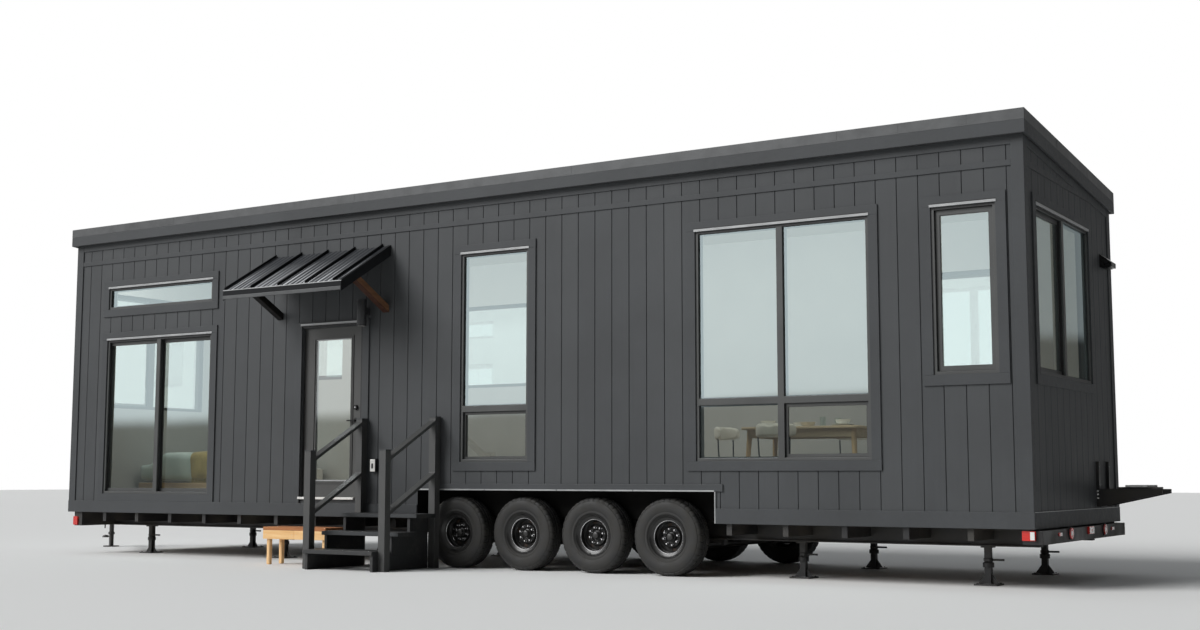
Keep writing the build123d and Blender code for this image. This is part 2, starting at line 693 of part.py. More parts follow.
# Hinges: outer knuckles and pin on the jamb, the middle knuckle on the leaf
def hinge_cylinder(radius, z0, z1):
    return Pos(HINGE_X, HINGE_Y, z0) * Cylinder(radius, z1 - z0, align=(Align.CENTER, Align.CENTER, Align.MIN))


jamb_hinges = []
leaf_hinges = []
for height in HINGE_HEIGHTS:
    z0 = LEAF_BOTTOM + height
    z3 = z0 + HINGE_HEIGHT
    z1 = z0 + HINGE_HEIGHT / 3
    z2 = z3 - HINGE_HEIGHT / 3
    fixed = hinge_cylinder(HINGE_PIN, z0, z3)
    for a, b in [(z0, z1), (z2, z3)]:
        fixed += hinge_cylinder(HINGE_RADIUS, a, b)
        fixed += block(HINGE_X - HINGE_LEAF, HINGE_X, LEAF_BACK, HINGE_Y, a, b)
    plate_left = HINGE_X - HINGE_LEAF_WIDTH
    fixed += block(plate_left, HINGE_X - HINGE_LEAF, LEAF_BACK, LEAF_BACK + HINGE_LEAF, z0, z3)
    jamb_hinges.append(fixed)
    knuckle = hinge_cylinder(HINGE_RADIUS, z1 + FIT, z2 - FIT)
    neck_right = LEAF_LEFT + HINGE_LEAF
    knuckle += block(HINGE_X, neck_right, LEAF_BACK, HINGE_Y, z1 + FIT, z2 - FIT)
    knuckle += block(LEAF_LEFT, HINGE_X + HINGE_LEAF_WIDTH, LEAF_BACK, LEAF_BACK + HINGE_LEAF, z0, z3)
    leaf_hinges.append(knuckle - hinge_cylinder(HINGE_PIN + FIT, z0, z3))
keep("door_hinges", *jamb_hinges)
keep("door_hinge_leaves", *leaf_hinges)

# Lever set and deadbolt on the leaf, outside and inside
LOCK_X = LEAF_RIGHT - LOCK_INSET
LEVER_Z = LEAF_BOTTOM + LEVER_HEIGHT
ROSE_RADIUS = 27
ROSE_DEPTH = 12
NECK_RADIUS = 10
LEVER_STAND = 45
LEVER_LENGTH = 110
LEVER_THICK = 16


def knob_along_y(x, z, radius, y0, y1):
    disc = Cylinder(radius, y1 - y0, align=(Align.CENTER, Align.CENTER, Align.MIN))
    return Pos(x, y0, z) * Rot(-90, 0, 0) * disc


handles = []
for face, out in [(LEAF_FRONT, -1), (LEAF_BACK, 1)]:
    a, b = sorted([face, face + out * ROSE_DEPTH])
    c, d = sorted([face, face + out * LEVER_STAND])
    e, f = sorted([face + out * (LEVER_STAND - LEVER_THICK), face + out * LEVER_STAND])
    lever = knob_along_y(LOCK_X, LEVER_Z, ROSE_RADIUS, a, b) + knob_along_y(LOCK_X, LEVER_Z, NECK_RADIUS, c, d)
    lever += block(
        LOCK_X - LEVER_LENGTH, LOCK_X + NECK_RADIUS, e, f, LEVER_Z - LEVER_THICK / 2, LEVER_Z + LEVER_THICK / 2
    )
    handles.append(lever)
    a, b = sorted([face, face + out * 2 * ROSE_DEPTH])
    handles.append(knob_along_y(LOCK_X, LEVER_Z + DEADBOLT_ABOVE, ROSE_RADIUS, a, b))
keep("door_handle", *handles)

# Canopy: a ribbed metal roof on a timber frame, held by two braces
CANOPY_FALL = (CANOPY_TOP_AT_WALL - CANOPY_TOP_AT_EDGE) / CANOPY_REACH


def canopy_z(y):
    return CANOPY_TOP_AT_WALL + y * CANOPY_FALL


def canopy_board(x0, x1, y0, y1, low, high):
    """A piece that follows the canopy's fall, between two depths below its upper face."""
    outline = [
        (y0, canopy_z(y0) - low),
        (y1, canopy_z(y1) - low),
        (y1, canopy_z(y1) - high),
        (y0, canopy_z(y0) - high),
    ]
    return prism_along_x(outline, x0, x1)


keep("canopy_roof", canopy_board(CANOPY_LEFT, CANOPY_RIGHT, -CANOPY_REACH, 0, 0, CANOPY_SHEET))
frame_low = CANOPY_SHEET
frame_high = CANOPY_SHEET + CANOPY_FRAME_HEIGHT
inset = CANOPY_FRAME_BOARD
canopy_frame = canopy_board(CANOPY_LEFT, CANOPY_RIGHT, -CANOPY_REACH, 0, frame_low, frame_high)
frame_left = CANOPY_LEFT + inset
frame_right = CANOPY_RIGHT - inset
canopy_frame -= canopy_board(
    frame_left, frame_right, -CANOPY_REACH + inset, -inset, frame_low - CUT_PAST, frame_high + CUT_PAST
)
for x0 in [BRACE_LEFT_X, BRACE_RIGHT_X]:
    canopy_frame += canopy_board(x0, x0 + BRACE, -CANOPY_REACH + inset, -inset, frame_low, frame_high)
keep("canopy_frame", canopy_frame)
brace_upper_z = BRACE_FOOT_Z + BRACE_DEPTH / cos(atan(BRACE_SLOPE))
under_at_wall = canopy_z(0) - frame_high
braces = []
for x0 in [BRACE_LEFT_X, BRACE_RIGHT_X]:
    outline = [(0, brace_upper_z), (0, BRACE_FOOT_Z)]
    for z in [BRACE_FOOT_Z, brace_upper_z]:
        reach = (under_at_wall - z) / (CANOPY_FALL + BRACE_SLOPE)
        outline.append((-reach, z + reach * BRACE_SLOPE))
    braces.append(prism_along_x(outline, x0, x0 + BRACE))
keep("canopy_braces", *braces)

# Wall lamp, weatherproof socket box and vent hood
LAMP_Y = -TRIM_BOARD - LAMP_ARM - LAMP_RADIUS
lamp = Pos(LAMP_X, LAMP_Y, LAMP_BOTTOM) * Cylinder(
    LAMP_RADIUS, LAMP_HEIGHT, align=(Align.CENTER, Align.CENTER, Align.MIN)
)
plate_z0 = LAMP_BOTTOM + LAMP_HEIGHT / 2 - LAMP_PLATE_LOW
plate_z1 = LAMP_BOTTOM + LAMP_HEIGHT / 2 + LAMP_PLATE_HIGH
lamp += block(LAMP_X - LAMP_RADIUS / 2, LAMP_X + LAMP_RADIUS / 2, LAMP_Y, 0, plate_z0, plate_z1)
keep("porch_lamp", lamp)
keep(
    "outlet_box",
    block(OUTLET_X, OUTLET_X + OUTLET_WIDTH, -OUTLET_DEPTH, 0, OUTLET_Z, OUTLET_Z + OUTLET_HEIGHT),
)
hood = [
    (HOUSE_LENGTH, VENT_Z),
    (HOUSE_LENGTH + VENT_REACH, VENT_Z),
    (HOUSE_LENGTH + VENT_REACH, VENT_Z + VENT_HEIGHT / 3),
    (HOUSE_LENGTH, VENT_Z + VENT_HEIGHT),
]
vent_y = BACK - VENT_FROM_BACK
keep("vent_hood", prism_along_y(hood, vent_y, vent_y + VENT_WIDTH))

# Pair of steel wall arms with two rails across them
arms = []
ARM_YS = [BACK - distance for distance in ARMS_FROM_BACK]
for y in ARM_YS:
    outline = [
        (HOUSE_LENGTH, ARM_BOTTOM),
        (HOUSE_LENGTH + ARM_DEPTH, ARM_BOTTOM),
        (HOUSE_LENGTH + ARM_REACH, ARM_SHELF_Z - ARM_TIP),
        (HOUSE_LENGTH + ARM_REACH, ARM_SHELF_Z),
        (HOUSE_LENGTH + ARM_DEPTH, ARM_SHELF_Z),
        (HOUSE_LENGTH + ARM_DEPTH, ARM_TOP),
        (HOUSE_LENGTH, ARM_TOP),
    ]
    arms.append(prism_along_y(outline, y, y + ARM_WIDTH))
arm_span = (ARM_YS[0] - ARM_WIDTH, ARM_YS[-1] + 2 * ARM_WIDTH)
for distance in ARM_RAILS_FROM_WALL:
    x = HOUSE_LENGTH + distance
    arms.append(block(x, x + ARM_RAIL, arm_span[0], arm_span[1], ARM_SHELF_Z, ARM_SHELF_Z + ARM_RAIL_HEIGHT))
bracket = arms[0]
for piece in arms[1:]:
    bracket += piece
keep("wall_bracket", bracket)

# Main beams of the trailer frame
BEAM_TOP = FLOOR_BOTTOM
BEAM_BOTTOM = BEAM_TOP - BEAM_HEIGHT
BEAM_YS = [BEAM_OFFSET, BACK - BEAM_OFFSET]
BEAM_X0 = BEAM_END_GAP + HEADER_WIDTH
BEAM_X1 = HOUSE_LENGTH - BUMPER_BACK
beams = []
for y in BEAM_YS:
    half = BEAM_FLANGE / 2
    beam = block(BEAM_X0, BEAM_X1, y - BEAM_WEB / 2, y + BEAM_WEB / 2, BEAM_BOTTOM, BEAM_TOP)
    beam += block(BEAM_X0, BEAM_X1, y - half, y + half, BEAM_BOTTOM, BEAM_BOTTOM + FLANGE_THICKNESS)
    beam += block(BEAM_X0, BEAM_X1, y - half, y + half, BEAM_TOP - FLANGE_THICKNESS, BEAM_TOP)
    beams.append(beam)
keep("chassis_beams", *beams)

# Headers, crossmembers and outriggers under the floor
SIDE_FRONT = FRAME_SIDE_GAP
SIDE_BACK = BACK - FRAME_SIDE_GAP
cross = [
    block(BEAM_END_GAP, BEAM_X0, SIDE_FRONT, SIDE_BACK, BEAM_BOTTOM, BEAM_TOP),
]
BUMPER_TOP = SKIRT_BOTTOM - BUMPER_TOP_GAP
cross.append(
    block(
        BEAM_X1, HOUSE_LENGTH + BUMPER_REACH, SIDE_FRONT, SIDE_BACK, BUMPER_TOP - BUMPER_HEIGHT, BUMPER_TOP
    )
    + block(BEAM_X1, HOUSE_LENGTH - SKIRT_BOARD, SIDE_FRONT, SIDE_BACK, BUMPER_TOP, BEAM_TOP)
)
web = BEAM_WEB / 2
inner_low = BEAM_YS[0] + web
inner_high = BEAM_YS[1] - web
cross_bottom = BEAM_TOP - FLANGE_THICKNESS - CROSS_HEIGHT
cross_top = BEAM_TOP - FLANGE_THICKNESS
position = CROSS_FIRST
while position < BEAM_X1 - CROSS_PITCH / 2:
    x0 = position - CROSS_WIDTH / 2
    x1 = position + CROSS_WIDTH / 2
    cross.append(block(x0, x1, inner_low, inner_high, cross_bottom, cross_top))
    beside_wheels = x1 > WELL_LEFT - CROSS_WIDTH and x0 < WELL_RIGHT + CROSS_WIDTH
    if not beside_wheels:
        cross.append(block(x0, x1, SIDE_FRONT, BEAM_YS[0] - web, cross_bottom, cross_top))
        cross.append(block(x0, x1, BEAM_YS[1] + web, SIDE_BACK, cross_bottom, cross_top))
    position += CROSS_PITCH
keep("chassis_crossmembers", *cross)

# Tongue: two bars from the left header to a coupler, with a jack post
TONGUE_BOTTOM = BEAM_BOTTOM
TONGUE_TOP = BEAM_BOTTOM + TONGUE_HEIGHT
half_bar = TONGUE_BAR / 2
coupler_x = BEAM_END_GAP - TONGUE_REACH
centre_y = BACK / 2
tongue = block(
    coupler_x,
    coupler_x + COUPLER_LENGTH,
    centre_y - COUPLER_WIDTH,
    centre_y + COUPLER_WIDTH,
    TONGUE_BOTTOM,
    TONGUE_TOP,
)
for y, side in [(BEAM_YS[0], 1), (BEAM_YS[1], -1)]:
    bar = [
        (BEAM_END_GAP, y - half_bar),
        (BEAM_END_GAP, y + half_bar),
        (coupler_x + COUPLER_LENGTH, centre_y - side * (COUPLER_WIDTH - TONGUE_BAR / 2) + half_bar),
        (coupler_x + COUPLER_LENGTH, centre_y - side * (COUPLER_WIDTH - TONGUE_BAR / 2) - half_bar),
    ]
    face = make_face(Polyline(*bar, close=True))
    tongue += Pos(0, 0, TONGUE_BOTTOM) * extrude(face, TONGUE_HEIGHT, dir=(0, 0, 1))
jack_x = coupler_x + COUPLER_LENGTH - JACK_RADIUS - JACK_FROM_END
jack = Pos(jack_x, centre_y, STAND_FOOT_THICKNESS) * Cylinder(
    JACK_RADIUS, TONGUE_TOP + JACK_ABOVE_TONGUE - STAND_FOOT_THICKNESS, align=(Align.CENTER, Align.CENTER, Align.MIN)
)
jack += Pos(jack_x, centre_y, 0) * Cylinder(
    STAND_FOOT / 2, STAND_FOOT_THICKNESS, align=(Align.CENTER, Align.CENTER, Align.MIN)
)
keep("tongue", tongue + jack)

# Stands under the main beams
AXLE_XS = [AXLE_FIRST + AXLE_PITCH * k for k in range(AXLE_COUNT)]
stands = []
for x in STANDS_FROM_LEFT + [AXLE_XS[-1] + STAND_PAST_AXLES, HOUSE_LENGTH - STAND_FROM_RIGHT]:
    for y in BEAM_YS:
        half_foot = STAND_FOOT / 2
        half_tube = STAND_TUBE / 2
        half_head = STAND_HEAD / 2
        stand = block(x - half_foot, x + half_foot, y - half_foot, y + half_foot, 0, STAND_FOOT_THICKNESS)
        stand += block(x - half_tube, x + half_tube, y - half_tube, y + half_tube, 0, BEAM_BOTTOM)
        stand += block(
            x - half_head, x + half_head, y - half_head, y + half_head, BEAM_BOTTOM - FLANGE_THICKNESS, BEAM_BOTTOM
        )
        stands.append(stand)
keep("support_stands", *stands)

# Axles: a dropped tube, an upright at each end with its spindle, and two spring packs
HUB_Z = TYRE_RADIUS
TUBE_Z = HUB_Z - AXLE_DROP
HUB_BACK = TYRE_FACE + TYRE_WIDTH - HUB_BACK_INSET
UPRIGHT_FACE = HUB_BACK + HUB_TO_UPRIGHT
RIM_FACE = TYRE_FACE + RIM_INSET


def along_y(radius, x, y0, y1, z):
    return Pos(x, y0, z) * Rot(-90, 0, 0) * Cylinder(radius, y1 - y0, align=(Align.CENTER, Align.CENTER, Align.MIN))


SPINDLE_TIP = RIM_FACE + HUB_REACH
axles = []
for x in AXLE_XS:
    axle = along_y(AXLE_RADIUS, x, UPRIGHT_FACE, BACK - UPRIGHT_FACE, TUBE_Z)
    for y0 in [UPRIGHT_FACE, BACK - UPRIGHT_FACE - UPRIGHT_THICKNESS]:
        axle += block(
            x - AXLE_RADIUS, x + AXLE_RADIUS, y0, y0 + UPRIGHT_THICKNESS, TUBE_Z - AXLE_RADIUS, HUB_Z + AXLE_RADIUS
        )
    axle += along_y(SPINDLE_RADIUS, x, SPINDLE_TIP, UPRIGHT_FACE, HUB_Z)
    axle += along_y(SPINDLE_RADIUS, x, BACK - UPRIGHT_FACE, BACK - SPINDLE_TIP, HUB_Z)
    for y in BEAM_YS:
        axle += block(
            x - SEAT_LENGTH / 2, x + SEAT_LENGTH / 2, y - SPRING_WIDTH / 2, y + SPRING_WIDTH / 2, TUBE_Z, BEAM_BOTTOM
        )
        axle += block(
            x - SPRING_LENGTH / 2,
            x + SPRING_LENGTH / 2,
            y - SPRING_WIDTH / 2,
            y + SPRING_WIDTH / 2,
            BEAM_BOTTOM - SPRING_THICKNESS,
            BEAM_BOTTOM,
        )
    axles.append(axle)
keep("axles", *axles)


# Wheels: the tyre and the rim are turned about the axle's line, outer face towards -Y
def turned(outline):
    """An outline of (radius, y) points turned about the Y axis."""
    wire = Polyline(*[(r, y, 0) for r, y in outline], close=True)
    return revolve(make_face(wire), axis=Axis.Y)


def tyre_shape():
    half = TYRE_WIDTH / 2
    side = [
        (TYRE_BEAD_RADIUS, half - BEAD_INSET),
        (TYRE_BEAD_RADIUS + BEAD_HEIGHT, half - BEAD_BULGE),
        (TYRE_BEAD_RADIUS + SIDEWALL_HEIGHT, half),
        (TYRE_RADIUS - SHOULDER_HEIGHT, half - SHOULDER_INSET),
        (TYRE_RADIUS - TREAD_ROUND, half - TREAD_EDGE),
        (TYRE_RADIUS, half - TREAD_INSET),
    ]
    return turned([(r, -y) for r, y in side] + side[::-1])


def rim_shape():
    half = TYRE_WIDTH / 2
    outer = TYRE_BEAD_RADIUS - FIT
    inner = outer - RIM_WALL
    disc_y = -half + RIM_INSET + RIM_DISH
    hub_end = -half + SPINDLE_TIP - TYRE_FACE - SPINDLE_END_GAP
    hub_front = hub_end - HUB_CAP
    hub_back = -half + HUB_BACK - TYRE_FACE
    bore = SPINDLE_RADIUS + SPINDLE_CLEARANCE
    return turned(
        [
            (outer, -half + RIM_LIP),
            (outer, half - BEAD_INSET),
            (inner, half - BEAD_INSET),
            (inner, disc_y + RIM_DISC),
            (HUB_RADIUS, disc_y + RIM_DISC),
            (HUB_RADIUS, hub_back),
            (bore, hub_back),
            (bore, hub_end),
            (0, hub_end),
            (0, hub_front),
            (HUB_RADIUS - HUB_BEVEL, hub_front),
            (HUB_RADIUS, disc_y),
            (RIM_STEP_RADIUS, disc_y),
            (RIM_STEP_RADIUS, -half + RIM_STEP_DEPTH),
            (inner, -half + RIM_STEP_DEPTH),
            (inner, -half + RIM_LIP),
        ]
    )


tyre = tyre_shape()
rim = rim_shape()
mid_y = TYRE_FACE + TYRE_WIDTH / 2
for k, x in enumerate(AXLE_XS, 1):
    keep(f"tyre_front_{k}", Pos(x, mid_y, HUB_Z) * tyre)
    keep(f"rim_front_{k}", Pos(x, mid_y, HUB_Z) * rim)
    keep(f"tyre_back_{k}", Pos(x, BACK - mid_y, HUB_Z) * Rot(0, 0, 180) * tyre)
    keep(f"rim_back_{k}", Pos(x, BACK - mid_y, HUB_Z) * Rot(0, 0, 180) * rim)

# Lamps on the rear bumper and on the corners of the frame
lamp_top = BUMPER_TOP - LAMP_TOP_GAP
lamp_bottom = lamp_top - LAMP_HEIGHT_REAR
lamps = []
bumper_face = HOUSE_LENGTH + BUMPER_REACH
for y0, y1 in [(SIDE_FRONT - LAMP_STAND, SIDE_FRONT), (SIDE_BACK, SIDE_BACK + LAMP_STAND)]:
    lamp_x1 = bumper_face - CORNER_LAMP_FROM_END
    lamps.append(block(lamp_x1 - CORNER_LAMP_LENGTH, lamp_x1, y0, y1, lamp_bottom, lamp_top))
    marker_top = BEAM_TOP - MARKER_BELOW_FLOOR
    lamps.append(block(BEAM_END_GAP, BEAM_END_GAP + MARKER_LENGTH, y0, y1, marker_top - MARKER_HEIGHT, marker_top))
lamp_z = (lamp_top + lamp_bottom) / 2
for y in [centre_y - ROUND_LAMP_SPREAD, centre_y + ROUND_LAMP_SPREAD]:
    disc = Cylinder(ROUND_LAMP_RADIUS, LAMP_STAND, align=(Align.CENTER, Align.CENTER, Align.MIN))
    lamps.append(Pos(bumper_face, y, lamp_z) * Rot(0, 90, 0) * disc)
plate_lamp_z = lamp_top - PLATE_LAMP_HEIGHT
plate_lamp_y = centre_y + PLATE_LAMP_LENGTH
lamps.append(block(bumper_face, bumper_face + LAMP_STAND, centre_y, plate_lamp_y, plate_lamp_z, lamp_top))
keep("tail_lamps", *lamps)

# Entrance steps: one flight of three treads on two stepped side boards, between the railings' posts
POST_BACK_Y = -SKIRT_BOARD - POST
STEP_LEFT = POST_LEFT_X + POST
flight = None
for k in range(3):
    top = STEP_TOP - STEP_RISE * k
    front = -STEP_TOP_FRONT - STEP_RUN * k
    back = POST_BACK_Y if k == 0 else front + STEP_RUN
    right = STEP_TREAD_RIGHT if k < 2 else POST_RIGHT_X
    tread = block(STEP_LEFT, right, front, back, top - STEP_TREAD, top)
    for x0 in [STEP_LEFT + STEP_SIDE_INSET, POST_RIGHT_X - STEP_SIDE_BOARD]:
        tread += block(x0, x0 + STEP_SIDE_BOARD, front + STEP_SIDE_INSET, POST_BACK_Y, 0, top - STEP_TREAD)
    flight = tread if flight is None else flight + tread
keep("step_flight", flight)

# Railings: two posts a side, joined by a hand rail and a lower rail laid flat
railings = []
for x0 in [POST_LEFT_X, POST_RIGHT_X]:
    railing = block(x0, x0 + POST, POST_BACK_Y, POST_BACK_Y + POST, 0, POST_BACK_TOP)
    railing += block(x0, x0 + POST, POST_FRONT_Y, POST_FRONT_Y + POST, 0, POST_FRONT_TOP)
    for drop in [0, LOWER_RAIL_DROP]:
        outline = [
            (POST_FRONT_Y + POST, RAIL_TOP_FRONT - drop - RAIL),
            (POST_BACK_Y, RAIL_TOP_BACK - drop - RAIL),
            (POST_BACK_Y, RAIL_TOP_BACK - drop),
            (POST_FRONT_Y + POST, RAIL_TOP_FRONT - drop),
        ]
        railing += prism_along_x(outline, x0, x0 + POST)
    railings.append(railing)
keep("step_railings", *railings)

# Cedar step: a slatted top on four legs with an apron
cedar_back = CEDAR_FRONT + CEDAR_DEPTH
cedar = block(CEDAR_LEFT, CEDAR_RIGHT, CEDAR_FRONT, cedar_back, CEDAR_TOP - CEDAR_BOARD, CEDAR_TOP)
apron_low = CEDAR_TOP - CEDAR_BOARD - CEDAR_APRON
apron = block(CEDAR_LEFT, CEDAR_RIGHT, CEDAR_FRONT, cedar_back, apron_low, CEDAR_TOP - CEDAR_BOARD)
apron -= block(
    CEDAR_LEFT + CEDAR_BOARD,
    CEDAR_RIGHT - CEDAR_BOARD,
    CEDAR_FRONT + CEDAR_BOARD,
    cedar_back - CEDAR_BOARD,
    apron_low,
    CEDAR_TOP - CEDAR_BOARD,
)
cedar += apron
for x0 in [CEDAR_LEFT, CEDAR_RIGHT - CEDAR_LEG]:
    for y0 in [CEDAR_FRONT, cedar_back - CEDAR_LEG]:
        cedar += block(x0, x0 + CEDAR_LEG, y0, y0 + CEDAR_LEG, 0, CEDAR_TOP - CEDAR_BOARD)
keep("cedar_step", cedar)

# Bed: a mattress on its base, with a thick cover that slopes down at the left
bed_x1 = BED_LEFT + BED_WIDTH
bed_back = BACK - WALL - BED_BACK_GAP
bed_outline = [
    (BED_LEFT, FLOOR_TOP),
    (bed_x1, FLOOR_TOP),
    (bed_x1, FLOOR_TOP + BED_COVER_TOP),
    (BED_LEFT + BED_COVER_SLOPE, FLOOR_TOP + BED_COVER_TOP),
    (BED_LEFT, FLOOR_TOP + BED_MATTRESS_TOP),
]
keep("bed", prism_along_y(bed_outline, bed_back - BED_LENGTH, bed_back))

# Dining table: a top on four legs joined by aprons
TABLE_LEFT = HOUSE_LENGTH - TABLE_FROM_END
TABLE_RIGHT = TABLE_LEFT + TABLE_LENGTH
TABLE_BACK = TABLE_FRONT + TABLE_DEPTH
table_under = FLOOR_TOP + TABLE_HEIGHT - TABLE_TOP
table = block(TABLE_LEFT, TABLE_RIGHT, TABLE_FRONT, TABLE_BACK, table_under, FLOOR_TOP + TABLE_HEIGHT)
leg_x0 = TABLE_LEFT + TABLE_INSET
leg_x1 = TABLE_RIGHT - TABLE_INSET
leg_y0 = TABLE_FRONT + TABLE_INSET
leg_y1 = TABLE_BACK - TABLE_INSET
table += ring(leg_x0, leg_x1, leg_y0, leg_y1, table_under - TABLE_APRON, table_under, TABLE_LEG / 2, "z")
for x0 in [leg_x0, leg_x1 - TABLE_LEG]:
    for y0 in [leg_y0, leg_y1 - TABLE_LEG]:
        table += block(x0, x0 + TABLE_LEG, y0, y0 + TABLE_LEG, FLOOR_TOP, table_under)


# Chairs: a round seat on four legs, with a bent back on two posts
def upright(radius, x, y, z0, z1):
    return Pos(x, y, z0) * Cylinder(radius, z1 - z0, align=(Align.CENTER, Align.CENTER, Align.MIN))


def chair(x, y, turn):
    """A chair whose back stands on the side that turn, in degrees from +X, points to."""
    seat = upright(CHAIR_SEAT_RADIUS, 0, 0, CHAIR_SEAT_HEIGHT - CHAIR_SEAT, CHAIR_SEAT_HEIGHT)
    for a in [-CHAIR_LEG_SPREAD, CHAIR_LEG_SPREAD]:
        for b in [-CHAIR_LEG_SPREAD, CHAIR_LEG_SPREAD]:
            seat += upright(CHAIR_LEG_RADIUS, a, b, 0, CHAIR_SEAT_HEIGHT - CHAIR_SEAT)
    post_reach = CHAIR_SEAT_RADIUS - CHAIR_LEG_RADIUS
    bend_reach = CHAIR_BACK_RADIUS - CHAIR_BACK / 2
    for side in [-1, 1]:
        angle = radians(side * CHAIR_POST_TURN)
        foot = (post_reach * cos(angle), post_reach * sin(angle), CHAIR_SEAT_HEIGHT - CHAIR_SEAT / 2)
        head = (bend_reach * cos(angle), bend_reach * sin(angle), (CHAIR_BACK_LOW + CHAIR_BACK_TOP) / 2)
        run = Line(foot, head)
        seat += sweep(Plane(origin=foot, z_dir=run % 0) * Circle(CHAIR_POST_RADIUS), path=run)
    band_face = make_face(
        Polyline(
            (CHAIR_BACK_RADIUS - CHAIR_BACK, 0, CHAIR_BACK_LOW),
            (CHAIR_BACK_RADIUS, 0, CHAIR_BACK_LOW),
            (CHAIR_BACK_RADIUS, 0, CHAIR_BACK_TOP),
            (CHAIR_BACK_RADIUS - CHAIR_BACK, 0, CHAIR_BACK_TOP),
            close=True,
        )
    )
    band = Rot(0, 0, -CHAIR_BACK_TURN) * revolve(band_face, axis=Axis.Z, revolution_arc=2 * CHAIR_BACK_TURN)
    return Pos(x, y, FLOOR_TOP) * Rot(0, 0, turn) * (seat + band)


table_middle = (TABLE_FRONT + TABLE_BACK) / 2
chairs = [
    chair(TABLE_LEFT - CHAIR_SEAT_RADIUS - CHAIR_GAP, table_middle, 180),
    chair(TABLE_RIGHT + CHAIR_SEAT_RADIUS + CHAIR_GAP, table_middle - RIGHT_CHAIR_FORWARD, 0),
    chair(TABLE_LEFT + NEAR_CHAIR_FROM_LEFT, TABLE_FRONT - CHAIR_SEAT_RADIUS + TABLE_INSET, 270),
    chair(TABLE_LEFT + FAR_CHAIR_FROM_LEFT, TABLE_BACK + CHAIR_SEAT_RADIUS - TABLE_INSET, 90),
]
keep("dining_set", table, *chairs)

# Move to the centre of the whole part and write one file a node
low_x = min(shape.bounding_box().min.X for shape in parts.values())
high_x = max(shape.bounding_box().max.X for shape in parts.values())
low_y = min(shape.bounding_box().min.Y for shape in parts.values())
high_y = max(shape.bounding_box().max.Y for shape in parts.values())
SHIFT_X = -(low_x + high_x) / 2
SHIFT_Y = -(low_y + high_y) / 2
os.makedirs("parts", exist_ok=True)
for name, shape in parts.items():
    export_step(Pos(SHIFT_X, SHIFT_Y, 0) * shape, f"parts/{name}.step")

print("shift", SHIFT_X, SHIFT_Y)
print("door hinge", HINGE_X + SHIFT_X, HINGE_Y + SHIFT_Y)
for k, x in enumerate(AXLE_XS, 1):
    print("wheel", k, x + SHIFT_X, mid_y + SHIFT_Y, BACK - mid_y + SHIFT_Y, HUB_Z)
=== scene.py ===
import bmesh
import bpy
import math
import random
from mathutils import Matrix, Vector, noise
from mathutils.bvhtree import BVHTree


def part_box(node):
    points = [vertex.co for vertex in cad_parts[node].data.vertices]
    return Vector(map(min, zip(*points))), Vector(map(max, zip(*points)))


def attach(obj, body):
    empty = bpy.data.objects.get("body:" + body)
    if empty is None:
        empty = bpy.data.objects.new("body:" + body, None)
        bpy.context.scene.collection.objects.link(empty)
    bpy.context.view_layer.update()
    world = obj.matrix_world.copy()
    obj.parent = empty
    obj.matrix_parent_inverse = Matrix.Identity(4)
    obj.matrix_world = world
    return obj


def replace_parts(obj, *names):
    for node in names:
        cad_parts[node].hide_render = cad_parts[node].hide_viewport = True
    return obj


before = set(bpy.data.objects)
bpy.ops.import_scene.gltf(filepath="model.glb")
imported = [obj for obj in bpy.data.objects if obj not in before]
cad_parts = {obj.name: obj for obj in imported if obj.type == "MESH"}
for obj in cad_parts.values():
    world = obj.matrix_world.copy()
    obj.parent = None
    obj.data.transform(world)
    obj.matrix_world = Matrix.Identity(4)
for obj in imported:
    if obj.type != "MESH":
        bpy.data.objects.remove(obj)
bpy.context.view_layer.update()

# The view: a lens at chest height off the right front corner, tilted up a little, so that the
# front and the right end both show.
def placed(name, data):
    """An object in the scene that carries the data."""
    made = bpy.data.objects.new(name, data)
    bpy.context.scene.collection.objects.link(made)
    return made


camera = placed("view_camera", bpy.data.cameras.new("view_camera"))
camera.data.sensor_width = 36.0
camera.data.lens = 45.356
camera.data.clip_end = 400.0
camera.matrix_world = (
    Matrix.Translation((10.598, -14.4415, 0.998))
    @ Matrix.Rotation(math.radians(32.139), 4, "Z")
    @ Matrix.Rotation(math.radians(96.121), 4, "X")
    @ Matrix.Rotation(math.radians(0.025), 4, "Z")
)
bpy.context.scene.camera = camera
bpy.context.scene.view_settings.view_transform = "Standard"


# The studio: a pale matt floor, a white surround that dims to the right and low down where panes mirror it,
# one broad lamp from the upper left front, and a soft strip of daylight under the roof indoors.
def node_tree(owner):
    owner.use_nodes = True
    owner.node_tree.nodes.clear()
    return owner.node_tree


def feed(tree, socket, value):
    """Sets a socket to a value, or links it where the value is a socket."""
    if isinstance(value, bpy.types.NodeSocket):
        tree.links.new(value, socket)
    else:
        socket.default_value = value


def node(tree, kind, **inputs):
    """A shader node with its sockets set by name."""
    made = tree.nodes.new(kind)
    for name, value in inputs.items():
        feed(tree, made.inputs[name.replace("_", " ")], value)
    return made


def reckon(tree, operation, *values):
    """What a math node makes of its values."""
    made = tree.nodes.new("ShaderNodeMath")
    made.operation = operation
    for socket, value in zip(made.inputs, values):
        feed(tree, socket, value)
    return made.outputs[0]


def spread(tree, value, low, high, first, last, kind="LINEAR"):
    """A value between low and high turned into one between first and last."""
    made = node(tree, "ShaderNodeMapRange", Value=value, From_Min=low, From_Max=high, To_Min=first, To_Max=last)
    made.interpolation_type = kind
    return made.outputs[0]


def between(tree, share, first, second):
    """The tone between two colours, or two colours' sockets, at a share."""
    made = tree.nodes.new("ShaderNodeMix")
    made.data_type = "RGBA"
    for socket, value in ((0, share), (6, first), (7, second)):
        feed(tree, made.inputs[socket], (*value, 1.0) if isinstance(value, tuple) else value)
    return made.outputs[2]


